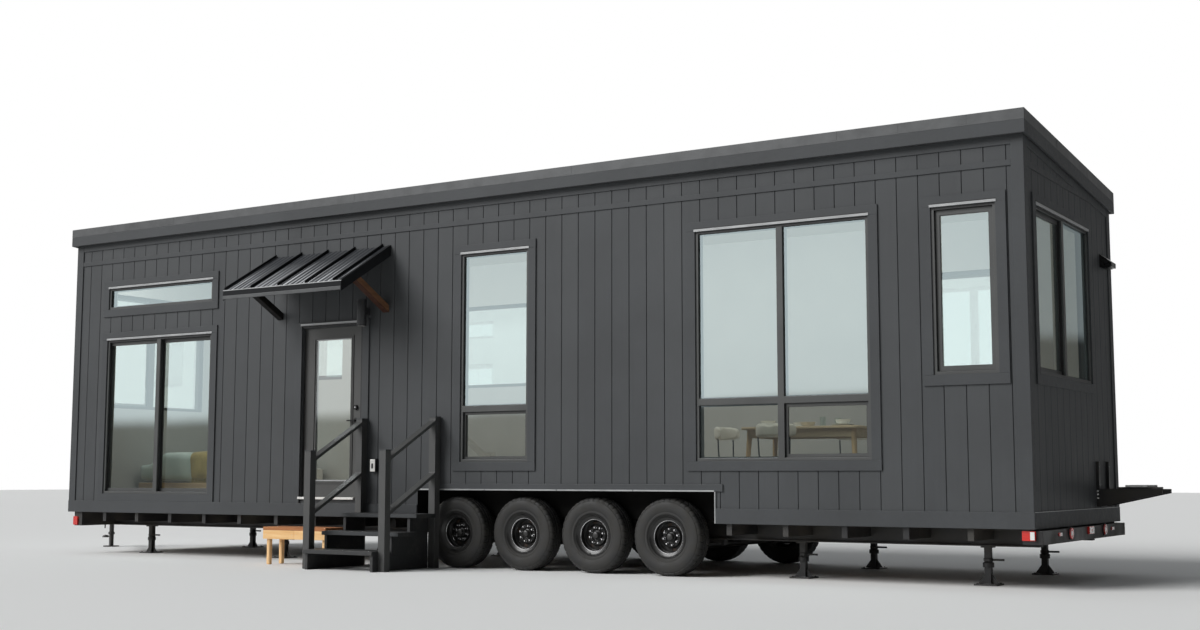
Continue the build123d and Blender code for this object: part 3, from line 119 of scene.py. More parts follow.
def blended(tree, share, first, second):
    """One shader over another, at a share."""
    made = tree.nodes.new("ShaderNodeMixShader")
    for socket, value in zip(made.inputs, (share, first, second)):
        tree.links.new(value, socket)
    return made.outputs[0]


def position(tree, kind="Object"):
    """The x, y and z of the piece's own coordinates, or of the way out."""
    where = node(tree, "ShaderNodeTexCoord").outputs[kind]
    return node(tree, "ShaderNodeSeparateXYZ", Vector=where).outputs


SURROUND_LIGHT = 0.38
RIGHT_SIDE_SHARE = 0.15
MIRRORED_GROUND = 0.07
world = bpy.data.worlds.new("studio")
bpy.context.scene.world = world
tree = node_tree(world)
ray = node(tree, "ShaderNodeLightPath").outputs
seen = reckon(tree, "MAXIMUM", ray["Is Camera Ray"], ray["Is Glossy Ray"])
seen = reckon(tree, "MAXIMUM", seen, ray["Is Transmission Ray"])
compass = position(tree, "Generated")
fade = spread(tree, compass["X"], -0.3, 0.4, 1.0, RIGHT_SIDE_SHARE, "SMOOTHSTEP")
height = reckon(tree, "MULTIPLY_ADD", compass["X"], -0.053, compass["Z"])
horizon = spread(tree, height, 0.069, 0.080, MIRRORED_GROUND, 1.0, "SMOOTHSTEP")
glossy_share = spread(tree, ray["Is Glossy Ray"], 0.0, 1.0, 1.0, reckon(tree, "MULTIPLY", fade, horizon))
dimmed = reckon(tree, "MULTIPLY", fade, SURROUND_LIGHT)
light = node(tree, "ShaderNodeBackground", Color=(0.93, 0.97, 1.0, 1.0), Strength=dimmed)
backdrop = node(tree, "ShaderNodeBackground", Color=(1.0, 1.0, 1.0, 1.0), Strength=glossy_share)
node(tree, "ShaderNodeOutputWorld", Surface=blended(tree, seen, light.outputs[0], backdrop.outputs[0]))

lamp = placed("broad_lamp", bpy.data.lights.new("broad_lamp", "SUN"))
lamp.data.energy = 2.6
lamp.data.angle = math.radians(35)
lamp.rotation_mode = "QUATERNION"
lamp.rotation_quaternion = Vector((0.55, 0.70, -0.62)).to_track_quat("-Z", "Y")
strip = placed("indoor_daylight", bpy.data.lights.new("indoor_daylight", "AREA"))
strip.data.shape = "RECTANGLE"
strip.data.size, strip.data.size_y = 12.0, 0.5
strip.data.energy = 165.0
strip.location = (0.28, -0.60, 3.72)
strip.rotation_euler = (math.radians(42), 0, 0)
strip.visible_camera = strip.visible_glossy = False


def material(name):
    """A new material with its empty tree."""
    made = bpy.data.materials.new(name)
    return made, node_tree(made)


def surface(tree, shader):
    """Ends a material's tree in its output."""
    node(tree, "ShaderNodeOutputMaterial", Surface=shader)


def principled(tree, **inputs):
    """Ends a material's tree in one shader with these inputs."""
    surface(tree, node(tree, "ShaderNodeBsdfPrincipled", **inputs).outputs[0])


REACH = 90.0
floor_mesh = bpy.data.meshes.new("studio_floor")
floor_mesh.from_pydata(
    [(-REACH, -REACH, 0), (REACH, -REACH, 0), (REACH, REACH, 0), (-REACH, REACH, 0)], [], [(0, 1, 2, 3)]
)
studio_floor = placed("studio_floor", floor_mesh)
matt_floor, tree = material("matt_floor")
floor_grain = node(tree, "ShaderNodeTexNoise", Scale=3.0, Detail=4.0).outputs["Fac"]
floor_tone = between(tree, floor_grain, (0.86, 0.86, 0.85), (0.90, 0.90, 0.89))
principled(tree, Base_Color=floor_tone, Roughness=0.9)
floor_mesh.materials.append(matt_floor)

# The trailer frame: two main beams with headers, crossmembers and outriggers, an A-shaped tongue with
# its coupler and jack, and stands under the beams. Welded steel, brushed with black paint, dusty below.
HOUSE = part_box("front_wall_left")[0]
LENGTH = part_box("right_wall")[1].x - HOUSE.x
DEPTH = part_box("back_wall")[1].y - HOUSE.y


def at(x, y, z):
    """A point measured from the house's left front corner, x along the front and y into the house."""
    return Vector((HOUSE.x + x, HOUSE.y + y, z))


def span(name):
    """A solid's limits along x, y and z, measured from the house's corner."""
    low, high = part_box(name)
    return (low.x - HOUSE.x, high.x - HOUSE.x), (low.y - HOUSE.y, high.y - HOUSE.y), (low.z, high.z)


def drift(tree, scale, stretch=(1.0, 1.0, 1.0), detail=3.0, rough=0.5):
    """Slow noise over the piece's own coordinates, drawn out along the axes with a small stretch."""
    where = tree.nodes.new("ShaderNodeTexCoord")
    drawn = node(tree, "ShaderNodeMapping", Vector=where.outputs["Object"], Scale=stretch)
    made = node(tree, "ShaderNodeTexNoise", Vector=drawn.outputs[0], Scale=scale, Detail=detail, Roughness=rough)
    return made.outputs["Fac"]


def relief(tree, height, depth, strength=1.0):
    """The bent normals of a surface with this height."""
    made = node(tree, "ShaderNodeBump", Height=height, Distance=depth, Strength=strength)
    return made.outputs[0]


def coat(name, scale, first, last, roughness, detail=3.0, stretch=(1.0, 1.0, 1.0), bump=None, **inputs):
    """A finish that drifts from one colour to another, in gloss too; its bump is (scale, detail, depth)."""
    made, tree = material(name)
    drifted = drift(tree, scale, stretch=stretch, detail=detail)
    if bump:
        inputs["Normal"] = relief(tree, drift(tree, bump[0], detail=bump[1]), bump[2], 0.4)
    tone = between(tree, drifted, first, last)
    principled(tree, Base_Color=tone, Roughness=spread(tree, drifted, 0.3, 0.7, *roughness), **inputs)
    return made


FRAME_PAINT, tree = material("black_frame_paint")
grime = spread(tree, drift(tree, 2.2, detail=5.0), 0.42, 0.70, 0.0, 1.0)
principled(
    tree,
    Base_Color=between(tree, grime, (0.012, 0.012, 0.013), (0.045, 0.041, 0.034)),
    Roughness=spread(tree, grime, 0.0, 1.0, 0.38, 0.75),
    Normal=relief(tree, drift(tree, 60.0, detail=2.0), 0.0008, 0.5),
)


def ease(piece, width, segments):
    """Takes the sharpness off a piece's edges."""
    eased = piece.modifiers.new("eased_edges", "BEVEL")
    eased.width = width
    eased.segments = segments
    eased.limit_method = "ANGLE"
    eased.angle_limit = math.radians(40)


def dress(material, *names, edge=0.0, segments=2):
    """Gives CAD pieces their finish, and takes the sharpness off their edges."""
    for name in names:
        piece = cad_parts[name]
        piece.data.materials.clear()
        piece.data.materials.append(material)
        if edge:
            weld = piece.modifiers.new("joined", "WELD")
            weld.merge_threshold = 0.00005
            ease(piece, edge, segments)


dress(FRAME_PAINT, "chassis_beams", "chassis_crossmembers", "tongue", "support_stands", edge=0.003)
undercoat, tree = material("black_undercoat")
principled(
    tree,
    Base_Color=between(tree, drift(tree, 5.0, detail=5.0), (0.003, 0.003, 0.003), (0.012, 0.011, 0.010)),
    Specular_IOR_Level=0.2,
    Roughness=0.9,
    Normal=relief(tree, drift(tree, 90.0), 0.0015, 0.6),
)
dress(undercoat, "wheel_wells", edge=0.003)


def block(mesh, x, y, z):
    """A box between two limits each way, measured from the house's corner."""
    corners = [mesh.verts.new(at(a, b, c)) for c in z for b in y for a in x]
    for quad in ((0, 2, 3, 1), (4, 5, 7, 6), (0, 1, 5, 4), (2, 6, 7, 3), (0, 4, 6, 2), (1, 3, 7, 5)):
        mesh.faces.new([corners[k] for k in quad])
    return corners


def blocks(*limits):
    """A mesh of boxes, each between two limits each way."""
    mesh = bmesh.new()
    for x, y, z in limits:
        block(mesh, x, y, z)
    return mesh


def loft(mesh, rows, ring=True, ends=False):
    """Faces between neighbouring rows of points; a row of one point is a tip."""
    for near, far in zip(rows, rows[1:]):
        count = max(len(near), len(far))
        for k in range(count if ring else count - 1):
            n = (k + 1) % count
            corners = (near[k % len(near)], near[n % len(near)], far[n % len(far)], far[k % len(far)])
            corners = list(dict.fromkeys(corners))
            if len(corners) > 2:
                mesh.faces.new(corners)
    if ends:
        for row in (rows[0][::-1], rows[-1]):
            if len(row) > 1:
                mesh.faces.new(row)


def prism(mesh, outline, axis, low, high):
    """A closed outline carried along x, y or z, measured from the house's corner."""
    place = {
        "x": lambda p, d: at(d, p[0], p[1]),
        "y": lambda p, d: at(p[0], d, p[1]),
        "z": lambda p, d: at(p[0], p[1], d),
    }[axis]
    near, far = ([mesh.verts.new(place(p, d)) for p in outline] for d in (low, high))
    mesh.faces.new(near)
    mesh.faces.new(far[::-1])
    loft(mesh, (near, far))


def circle(mesh, centre, first, second, sides):
    """A ring of points round a centre; the first and second directions have the ring's size."""
    turns = [2 * math.pi * k / sides for k in range(sides)]
    return [mesh.verts.new(centre + first * math.cos(a) + second * math.sin(a)) for a in turns]


AXES = (Vector((1, 0, 0)), Vector((0, 1, 0)), Vector((0, 0, 1)))


def turn(mesh, outline, centre, axis, steps=32, closed=False):
    """An outline of (radius, distance along the axis) turned about a line through centre."""
    along, first, second = (AXES[("xyz".index(axis) + n) % 3] for n in range(3))
    rings = []
    for radius, distance in outline:
        middle = centre + along * distance
        if radius < 1e-6:
            rings.append([mesh.verts.new(middle)])
        else:
            rings.append(circle(mesh, middle, first * radius, second * radius, steps))
    loft(mesh, rings + rings[:1] if closed else rings, ends=not closed)


def finished(name, mesh, material, body="house", edge=0.0, segments=2, smooth=None):
    """The mesh as a piece of the house, with its finish, riding on its body."""
    bmesh.ops.recalc_face_normals(mesh, faces=mesh.faces)
    data = bpy.data.meshes.new(name)
    mesh.to_mesh(data)
    mesh.free()
    for one in material if isinstance(material, (list, tuple)) else [material]:
        data.materials.append(one)
    if smooth is not None:
        data.shade_smooth()
        data.set_sharp_from_angle(angle=math.radians(smooth))
    piece = placed(name, data)
    if edge:
        ease(piece, edge, segments)
    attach(piece, body)
    return piece


coupler_low, coupler_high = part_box("tongue")
mesh = bmesh.new()
coupler = Vector((coupler_low.x + 0.085, (coupler_low.y + coupler_high.y) / 2, coupler_low.z + 0.13))
turn(mesh, [(0.048, 0.0), (0.048, 0.012), (0.036, 0.030), (0.0, 0.036)], coupler, "z", 24)
jack = coupler + Vector((0.123, 0, 0))
turn(mesh, [(0.044, 0.045), (0.044, 0.075), (0.036, 0.082), (0.036, 0.045)], jack, "z", 24)
turn(mesh, [(0.040, 0.205), (0.040, 0.250), (0.030, 0.256), (0.0, 0.257)], jack, "z", 24)
turn(mesh, [(0.009, -0.120), (0.009, -0.030)], jack + Vector((0, 0, 0.225)), "y", 12)
turn(mesh, [(0.009, -0.045), (0.009, 0.045)], jack + Vector((0, -0.120, 0.180)), "z", 12)
finished("coupler_and_jack_fittings", mesh, FRAME_PAINT, smooth=35)

STAND_XS = (0.900, 3.300, 5.300, 10.324, 12.200)
BEAM_YS = (0.600, DEPTH - 0.600)
BEAM_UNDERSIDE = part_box("chassis_beams")[0].z
mesh = bmesh.new()
for x in STAND_XS:
    for y in BEAM_YS:
        foot = at(x, y, 0)
        turn(mesh, [(0.052, 0.165), (0.052, 0.205), (0.044, 0.212), (0.044, 0.165)], foot, "z", 20)
        turn(mesh, [(0.036, 0.215), (0.046, 0.222), (0.046, 0.246), (0.036, 0.252)], foot, "z", 6)
        turn(mesh, [(0.010, 0.046), (0.010, 0.150)], foot + Vector((0, 0, 0.234)), "x", 10)
        for dx, dy in ((-1, -1), (1, -1), (-1, 1), (1, 1)):
            bolt = foot + Vector((dx * 0.085, dy * 0.085, 0.014))
            turn(mesh, [(0.010, 0.0), (0.010, 0.007), (0.0, 0.008)], bolt, "z", 6)
        for side in (-1, 1):
            gusset = [(x + side * 0.028, 0.014), (x + side * 0.100, 0.014), (x + side * 0.028, 0.110)]
            prism(mesh, gusset, "y", y - 0.004, y + 0.004)
finished("stand_collars_and_gussets", mesh, FRAME_PAINT, smooth=35)


# Four axles: each a dropped tube under two packs of spring leaves that U-bolts clamp to their seats,
# with a brake drum behind each wheel. Black painted steel, the drums bare cast iron.
AXLE_XS = (6.394, 7.286, 8.178, 9.070)
HUB_Z = 0.3925
LEAF = 0.008
dress(FRAME_PAINT, "axles", edge=0.003)
mesh = bmesh.new()
for x in AXLE_XS:
    for y in BEAM_YS:
        for k, half in enumerate((0.375, 0.300, 0.215, 0.130)):
            top = BEAM_UNDERSIDE - 0.020 - k * (LEAF + 0.0006)
            upper = [(x + half * s, top - 0.002 * abs(s)) for s in (-1, -0.5, 0, 0.5, 1)]
            lower = [(a, b - LEAF) for a, b in upper[::-1]]
            prism(mesh, upper + lower, "y", y - 0.030, y + 0.030)
        for side in (-1, 1):
            shackle = x + side * 0.368
            block(mesh, (shackle - 0.016, shackle + 0.016), (y - 0.036, y + 0.036),
                  (BEAM_UNDERSIDE - 0.060, BEAM_UNDERSIDE - 0.001))
            for across in (-0.036, 0.036):
                rod = at(x + side * 0.040, y + across, 0)
                turn(mesh, [(0.007, HUB_Z - 0.155), (0.007, BEAM_UNDERSIDE - 0.012)], rod, "z", 10)
                nut = rod + Vector((0, 0, HUB_Z - 0.150))
                turn(mesh, [(0.012, 0.0), (0.012, 0.012)], nut, "z", 6)
        block(mesh, (x - 0.062, x + 0.062), (y - 0.046, y + 0.046), (HUB_Z - 0.148, HUB_Z - 0.138))
finished("spring_leaves_and_clamps", mesh, FRAME_PAINT, edge=0.0012, segments=1, smooth=35)

cast, tree = material("cast_drum")
rust = spread(tree, drift(tree, 14.0, detail=6.0), 0.45, 0.65, 0.0, 1.0)
principled(
    tree,
    Base_Color=between(tree, rust, (0.030, 0.029, 0.028), (0.065, 0.040, 0.026)),
    Metallic=0.4,
    Roughness=spread(tree, rust, 0.0, 1.0, 0.45, 0.8),
    Normal=relief(tree, drift(tree, 220.0), 0.0006, 0.6),
)
WHEEL_HALF = 0.1175
WHEEL_YS = (0.030 + WHEEL_HALF, DEPTH - 0.030 - WHEEL_HALF)
drum = [
    (0.050, 0.012), (0.146, 0.016), (0.152, 0.024), (0.152, 0.066), (0.160, 0.070), (0.160, 0.078), (0.050, 0.080),
]
mesh = bmesh.new()
for x in AXLE_XS:
    for y, side in zip(WHEEL_YS, (1, -1)):
        turn(mesh, [(r, side * d) for r, d in drum], at(x, y, HUB_Z), "y", 40, closed=True)
finished("brake_drums", mesh, cast, smooth=35)


# Eight road wheels: radial tyres on pressed steel rims. The rims are gloss black with vent windows and a
# bright plated ring on the lip that also stands in for the highlight the lip catches, held by eight bright nuts round
# a black hub cap; the tyres are dull and a little dusty.
rubber, tree = material("tyre_rubber")
dust = spread(tree, drift(tree, 7.0, detail=5.0, rough=0.65), 0.40, 0.70, 0.0, 1.0)
principled(
    tree,
    Base_Color=between(tree, dust, (0.011, 0.011, 0.011), (0.030, 0.028, 0.024)),
    Roughness=spread(tree, dust, 0.0, 1.0, 0.58, 0.86),
    Normal=relief(tree, drift(tree, 400.0), 0.0003, 0.5),
)

gloss_black = coat(
    "rim_gloss_black", 9.0, (0.010, 0.010, 0.011), (0.024, 0.023, 0.021), (0.26, 0.42),
    detail=4.0, Coat_Weight=0.12, Coat_Roughness=0.2,
)

bright_metal = coat(
    "bright_plated_metal", 40.0, (0.62, 0.62, 0.63), (0.78, 0.78, 0.79), (0.12, 0.28), detail=3.0, Metallic=1.0
)

TYRE = 0.3925
BEAD = 0.212
SHOULDER = 0.047
TREAD_STEPS = 216
BLOCK_STEPS = 6
tread_side = [
    (BEAD, 0.0925), (BEAD + 0.012, 0.1010), (BEAD + 0.020, 0.1085), (BEAD + 0.035, 0.1115), (BEAD + 0.040, 0.1105),
    (BEAD + 0.046, 0.1130), (BEAD + 0.075, 0.1168), (BEAD + 0.095, 0.1175), (BEAD + 0.118, 0.1160),
    (BEAD + 0.128, 0.1140), (TYRE - 0.040, 0.1110), (TYRE - 0.036, 0.1060), (TYRE - 0.031, 0.1045),
    (TYRE - 0.027, 0.1060), (TYRE - 0.018, 0.1010), (TYRE - 0.010, 0.0955), (TYRE - 0.003, 0.0840),
    (TYRE - 0.0005, 0.0700),
    (TYRE - 0.0005, 0.0480), (TYRE - 0.0085, 0.0460), (TYRE - 0.0085, 0.0380), (TYRE, 0.0360), (TYRE, 0.0125),
    (TYRE - 0.0085, 0.0105), (TYRE - 0.0085, 0.0035),
]
tyre_outline = tread_side + [(r, -y) for r, y in tread_side[::-1]]
mesh = bmesh.new()
rings = []
for k in range(TREAD_STEPS):
    angle = 2 * math.pi * k / TREAD_STEPS
    ring = []
    for radius, y in tyre_outline:
        if radius > TYRE - 0.036 and abs(y) > SHOULDER and (k + (3 if y > 0 else 0)) % BLOCK_STEPS == 0:
            radius -= 0.007
        elif radius > TYRE - 0.001 and abs(y) <= SHOULDER and k % BLOCK_STEPS == (2 if y > 0 else 5):
            radius -= 0.005
        ring.append(mesh.verts.new((radius * math.sin(angle), y, radius * math.cos(angle))))
    rings.append(ring)
loft(mesh, rings + rings[:1], ring=False)
bmesh.ops.recalc_face_normals(mesh, faces=mesh.faces)
tyre_mesh = bpy.data.meshes.new("radial_tyre")
mesh.to_mesh(tyre_mesh)
mesh.free()
tyre_mesh.materials.append(rubber)
tyre_mesh.shade_smooth()
tyre_mesh.set_sharp_from_angle(angle=math.radians(28))


def rim_disc(mesh, steps=96, windows=8):
    """The pressed disc with its vent windows, from the hub to the barrel."""
    rows = [(0.050, 0.005), (0.064, 0.003), (0.068, -0.002), (0.101, -0.004), (0.106, 0.002), (0.112, 0.010),
            (0.116, 0.012), (0.144, 0.008), (0.150, 0.000), (0.158, -0.008), (0.166, -0.010)]
    rings = [circle(mesh, Vector((0, y, 0)), AXES[2] * radius, AXES[0] * radius, steps) for radius, y in rows]
    pitch = steps // windows
    for n in range(len(rows) - 1):
        for k in range(steps):
            if rows[n][0] == 0.116 and k % pitch in (3, 4, 5, 6, 7, 8):
                continue
            m = (k + 1) % steps
            mesh.faces.new((rings[n][k], rings[n][m], rings[n + 1][m], rings[n + 1][k]))


mesh = bmesh.new()
rim_disc(mesh)
thick = bmesh.ops.solidify(mesh, geom=mesh.faces[:], thickness=0.006)
barrel = [(0.2115, -0.0985), (0.2140, -0.0985), (0.2140, -0.0945), (0.2105, -0.0900), (0.2050, -0.0750),
          (0.1990, -0.0600), (0.1990, 0.0600), (0.2050, 0.0750), (0.2105, 0.0900), (0.2140, 0.0945), (0.2140, 0.0985),
          (0.2100, 0.0985), (0.2060, 0.0900), (0.2000, 0.0730), (0.1760, 0.0560), (0.1640, 0.0300), (0.1640, -0.0640),
          (0.1670, -0.0680), (0.1860, -0.0740), (0.1990, -0.0810), (0.2060, -0.0910)]
turn(mesh, barrel, Vector((0, 0, 0)), "y", 96, closed=True)
cap = [(0.0, -0.053), (0.024, -0.052), (0.034, -0.048), (0.040, -0.039), (0.041, -0.017), (0.048, -0.013),
       (0.048, 0.005)]
turn(mesh, cap, Vector((0, 0, 0)), "y", 40)
bmesh.ops.recalc_face_normals(mesh, faces=mesh.faces)
NUTS = 8
NUT_CIRCLE = 0.0825
before = set(mesh.faces)
for k in range(NUTS):
    angle = 2 * math.pi * (k + 0.5) / NUTS
    centre = Vector((NUT_CIRCLE * math.sin(angle), -0.0035, NUT_CIRCLE * math.cos(angle)))
    turn(mesh, [(0.0145, 0.0), (0.0145, -0.003), (0.0115, -0.005), (0.0115, -0.022), (0.009, -0.029), (0.0, -0.031)],
         centre, "y", 6)
# The bright plated ring on the lip stands in for the highlight that the gloss black lip catches.
lip = [(0.1630, -0.0670), (0.1655, -0.0692), (0.1678, -0.0694), (0.1668, -0.0670)]
turn(mesh, lip, Vector((0, 0, 0)), "y", 96, closed=True)
for face in set(mesh.faces) - before:
    face.material_index = 1
turn(mesh, [(0.0045, -0.092), (0.0045, -0.060)], Vector((0.145, 0, 0.118)), "y", 10)
bmesh.ops.recalc_face_normals(mesh, faces=mesh.faces)
rim_mesh = bpy.data.meshes.new("pressed_rim")
mesh.to_mesh(rim_mesh)
mesh.free()
rim_mesh.materials.append(gloss_black)
rim_mesh.materials.append(bright_metal)
rim_mesh.shade_smooth()
rim_mesh.set_sharp_from_angle(angle=math.radians(35))

random.seed(4)
for side, y, turned_round in zip(("front", "back"), WHEEL_YS, (0.0, math.pi)):
    for k, x in enumerate(AXLE_XS, 1):
        rolled = random.uniform(0, 2 * math.pi)
        for word, data, slot in (("tyre", tyre_mesh, "tyre"), ("rim", rim_mesh, "rim_black")):
            own = data.copy()
            own.transform(Matrix.Rotation(turned_round, 4, "Z") @ Matrix.Rotation(rolled, 4, "Y"))
            piece = placed(f"road_{word}_{side}_{k}", own)
            piece.location = at(x, y, HUB_Z)
            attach(piece, f"wheel_{side}_{k}")
            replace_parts(piece, f"{word}_{side}_{k}")


# The floor: one insulated deck with pale oak boards laid along the house; its edge is painted charcoal
# and hides behind the skirt and the siding.
def indoors(tree):
    """One inside the shell's lining, nought outside."""
    spot = position(tree)
    inside = 1.0
    for axis, low, high in (("X", HOUSE.x, HOUSE.x + LENGTH), ("Y", HOUSE.y, HOUSE.y + DEPTH)):
        for side, limit in (("GREATER_THAN", low + LINING_FACE), ("LESS_THAN", high - LINING_FACE)):
            inside = reckon(tree, "MULTIPLY", inside, reckon(tree, side, spot[axis], limit))
    return inside


LINING_FACE = 0.113
CHARCOAL = (0.050, 0.053, 0.056)
CHARCOAL_WORN = (0.062, 0.066, 0.070)

oak_deck, tree = material("oak_deck")
where = tree.nodes.new("ShaderNodeTexCoord")
planks = node(tree, "ShaderNodeTexBrick", Vector=where.outputs["Object"], Scale=1.0, Mortar_Size=0.0015,
              Brick_Width=1.8, Row_Height=0.15)
planks.inputs["Color1"].default_value = (0.30, 0.215, 0.135, 1)
planks.inputs["Color2"].default_value = (0.37, 0.27, 0.175, 1)
planks.inputs["Mortar"].default_value = (0.07, 0.05, 0.03, 1)
oak_grain = drift(tree, 6.0, stretch=(0.6, 14.0, 14.0), detail=6.0)
oak_tone = between(tree, spread(tree, oak_grain, 0.3, 0.7, 0.0, 0.5), planks.outputs["Color"], (0.22, 0.15, 0.09))
principled(
    tree,
    Base_Color=between(tree, indoors(tree), CHARCOAL, oak_tone),
    Roughness=spread(tree, oak_grain, 0.3, 0.7, 0.42, 0.60),
    Normal=relief(tree, oak_grain, 0.0006, 0.5),
)
dress(oak_deck, "floor")


# The shell: insulated timber walls, lined inside with off-white boards and clad outside with grooved panels
# in satin charcoal paint. The cladding's upright boards are 8 inches wide, with an embossed wood grain.
def charcoal_paint(name, stretch, boards=False):
    """Satin paint with streaks and patches; boards has each upright board a tone of its own."""
    made, tree = material(name)
    streaks = drift(tree, 14.0, stretch=stretch, detail=6.0, rough=0.65)
    patches = drift(tree, 1.1, detail=4.0, rough=0.6)
    tone = between(tree, spread(tree, patches, 0.35, 0.68, 0.0, 1.0), CHARCOAL, CHARCOAL_WORN)
    tone = between(tree, spread(tree, streaks, 0.30, 0.72, 0.35, 0.0), tone, (0.036, 0.038, 0.040))
    if boards:
        spot = position(tree)
        facing = node(tree, "ShaderNodeNewGeometry").outputs["Normal"]
        way = node(tree, "ShaderNodeSeparateXYZ", Vector=facing).outputs
        along = tree.nodes.new("ShaderNodeMix")
        for socket, value in ((0, reckon(tree, "COMPARE", way["Y"], 0.0, 0.5)), (2, spot["X"]), (3, spot["Y"])):
            tree.links.new(value, along.inputs[socket])
        first = -(HOUSE.x + FIRST_GROOVE) / GROOVE_PITCH
        counted = reckon(tree, "MULTIPLY_ADD", along.outputs[0], 1 / GROOVE_PITCH, first)
        dealt = tree.nodes.new("ShaderNodeTexWhiteNoise")
        dealt.noise_dimensions = "1D"
        tree.links.new(reckon(tree, "FLOOR", counted), dealt.inputs["W"])
        tone = between(tree, spread(tree, dealt.outputs["Value"], 0.0, 1.0, 0.0, 0.32), tone, (0.075, 0.078, 0.080))
    principled(
        tree,
        Base_Color=tone,
        Specular_IOR_Level=0.28,
        Roughness=spread(tree, streaks, 0.3, 0.7, 0.46, 0.62),
        Normal=relief(tree, streaks, 0.0016, 0.55),
    )
    return made


FIRST_GROOVE = 0.0392
GROOVE_PITCH = 0.2103
GROOVE = 0.005
BOARD_PROUD = 0.009
BOARD_EDGE = 0.003
SIDING_LOW = 0.686
siding_paint = charcoal_paint("charcoal_siding", (2.2, 2.2, 0.16), boards=True)

lined_wall, tree = material("wall_with_pale_lining")
lining_grain = drift(tree, 3.0, detail=4.0)
lining = between(tree, lining_grain, (0.38, 0.375, 0.355), (0.45, 0.445, 0.42))
principled(
    tree,
    Base_Color=between(tree, indoors(tree), (0.034, 0.035, 0.036), lining),
    Roughness=spread(tree, lining_grain, 0.3, 0.7, 0.55, 0.68),
    Normal=relief(tree, drift(tree, 60.0), 0.0004, 0.4),
)
walls = ("front_wall_left", "front_wall_over_door", "front_wall_right", "back_wall", "left_wall", "right_wall")
dress(lined_wall, *walls)

TRANSOM = (0.638, 2.565, 3.195, 3.475)
SLIDER = (0.638, 2.565, 0.783, 2.790)
TALL = (6.480, 7.391, 1.162, 3.480)
WIDE = (9.450, 11.316, 1.156, 3.480)
SMALL = (11.937, 12.548, 1.932, 3.495)
DOORWAY = (4.065, 5.049, 0.540, 2.808)
WHEEL_OPENING = (5.886, 9.655, 0.540, 0.855)
END_WINDOW = (0.314, 2.153, 1.932, 3.495)
BACK_SMALL = (1.200, 2.100, 2.390, 3.290)
BACK_MIDDLE = (4.100, 5.400, 2.190, 3.290)
BACK_RIGHT = (10.100, 11.600, 1.990, 3.290)

# Each wall's own directions: along it, up, and out of it.
FRONT = lambda u, v, out: at(u, -out, v)
BACK = lambda u, v, out: at(u, DEPTH + out, v)
RIGHT_END = lambda u, v, out: at(LENGTH + out, u, v)
LEFT_END = lambda u, v, out: at(-out, u, v)


ROOF_LINE = 4.297
ROOF_FALL = 1 / 12
FRONT_EAVE = 0.068
ROOF_DEPTH = 0.203


def under_roof(y):
    """The underside of the sloping roof over a line at depth y."""
    return ROOF_LINE - (y + FRONT_EAVE) * ROOF_FALL - ROOF_DEPTH


def clad(name, wall, length, top, openings):
    """Upright boards over one wall, with a groove between each two, cut round its openings."""
    mesh = bmesh.new()
    grooves = [0.0]
    while FIRST_GROOVE + GROOVE_PITCH * (len(grooves) - 1) < length - 0.02:
        grooves.append(FIRST_GROOVE + GROOVE_PITCH * (len(grooves) - 1))
    grooves.append(length)
    for start, end in zip(grooves, grooves[1:]):
        first, last = start + GROOVE / 2, end - GROOVE / 2
        strips = [(first, last, SIDING_LOW, 9.0)]
        for u0, u1, v0, v1 in openings:
            left_over = []
            for a, b, c, d in strips:
                if u1 <= a or u0 >= b or v1 <= c or v0 >= d:
                    left_over.append((a, b, c, d))
                    continue
                if v0 > c:
                    left_over.append((a, b, c, v0))
                if v1 < d:
                    left_over.append((a, b, v1, d))
                if u0 > a:
                    left_over.append((a, u0, max(c, v0), min(d, v1)))
                if u1 < b:
                    left_over.append((u1, b, max(c, v0), min(d, v1)))
            strips = left_over
        for a, b, c, d in strips:
            sections = [(a, BOARD_PROUD), (b, BOARD_PROUD)]
            if a == first:
                sections = [(a, 0.0), (a, BOARD_PROUD - BOARD_EDGE), (a + BOARD_EDGE, BOARD_PROUD)] + sections[1:]
            if b == last:
                sections = sections[:-1] + [(b - BOARD_EDGE, BOARD_PROUD), (b, BOARD_PROUD - BOARD_EDGE), (b, 0.0)]
            low = [mesh.verts.new(wall(u, c, out)) for u, out in sections]
            high = [mesh.verts.new(wall(u, min(d, top(u)), out)) for u, out in sections]
            loft(mesh, (low, high), ring=False)
    data = bpy.data.meshes.new(name)
    bmesh.ops.recalc_face_normals(mesh, faces=mesh.faces)
    middle = wall(length / 2, 2.0, 0.5)
    for face in mesh.faces:
        if abs(face.normal.dot(wall(0, 0, 1) - wall(0, 0, 0))) > 0.5:
            if face.normal.dot(middle - face.calc_center_median()) < 0:
                face.normal_flip()
    mesh.to_mesh(data)
    mesh.free()
    data.materials.append(siding_paint)
    piece = placed(name, data)
    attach(piece, "house")


clad("front_cladding", FRONT, LENGTH, lambda u: under_roof(-BOARD_PROUD),
     [TRANSOM, SLIDER, TALL, WIDE, SMALL, DOORWAY, WHEEL_OPENING])
clad("back_cladding", BACK, LENGTH, lambda u: under_roof(DEPTH + BOARD_PROUD),
     [BACK_SMALL, BACK_MIDDLE, BACK_RIGHT, WHEEL_OPENING])
clad("right_end_cladding", RIGHT_END, DEPTH, under_roof, [END_WINDOW])
clad("left_end_cladding", LEFT_END, DEPTH, under_roof, [END_WINDOW])


# The boards nailed over the cladding: skirt, bands, corner boards, window casings and the fascia under the
# roof. Planed timber in the same charcoal paint, with nails set flush and eased edges.
trim_paint = charcoal_paint("charcoal_trim", (1.4, 1.4, 1.4))
dress(trim_paint, "skirt_boards", "band_boards", "corner_boards", "window_trim", "fascia_boards", edge=0.003)

NAIL_PITCH = 0.42
MID_CASING = 0.049
CASING_PAIR = (-0.030, 0.030)


def evenly(low, high, count):
    """The middles of a run's even shares."""
    return [low + (high - low) * (k + 0.5) / count for k in range(count)]


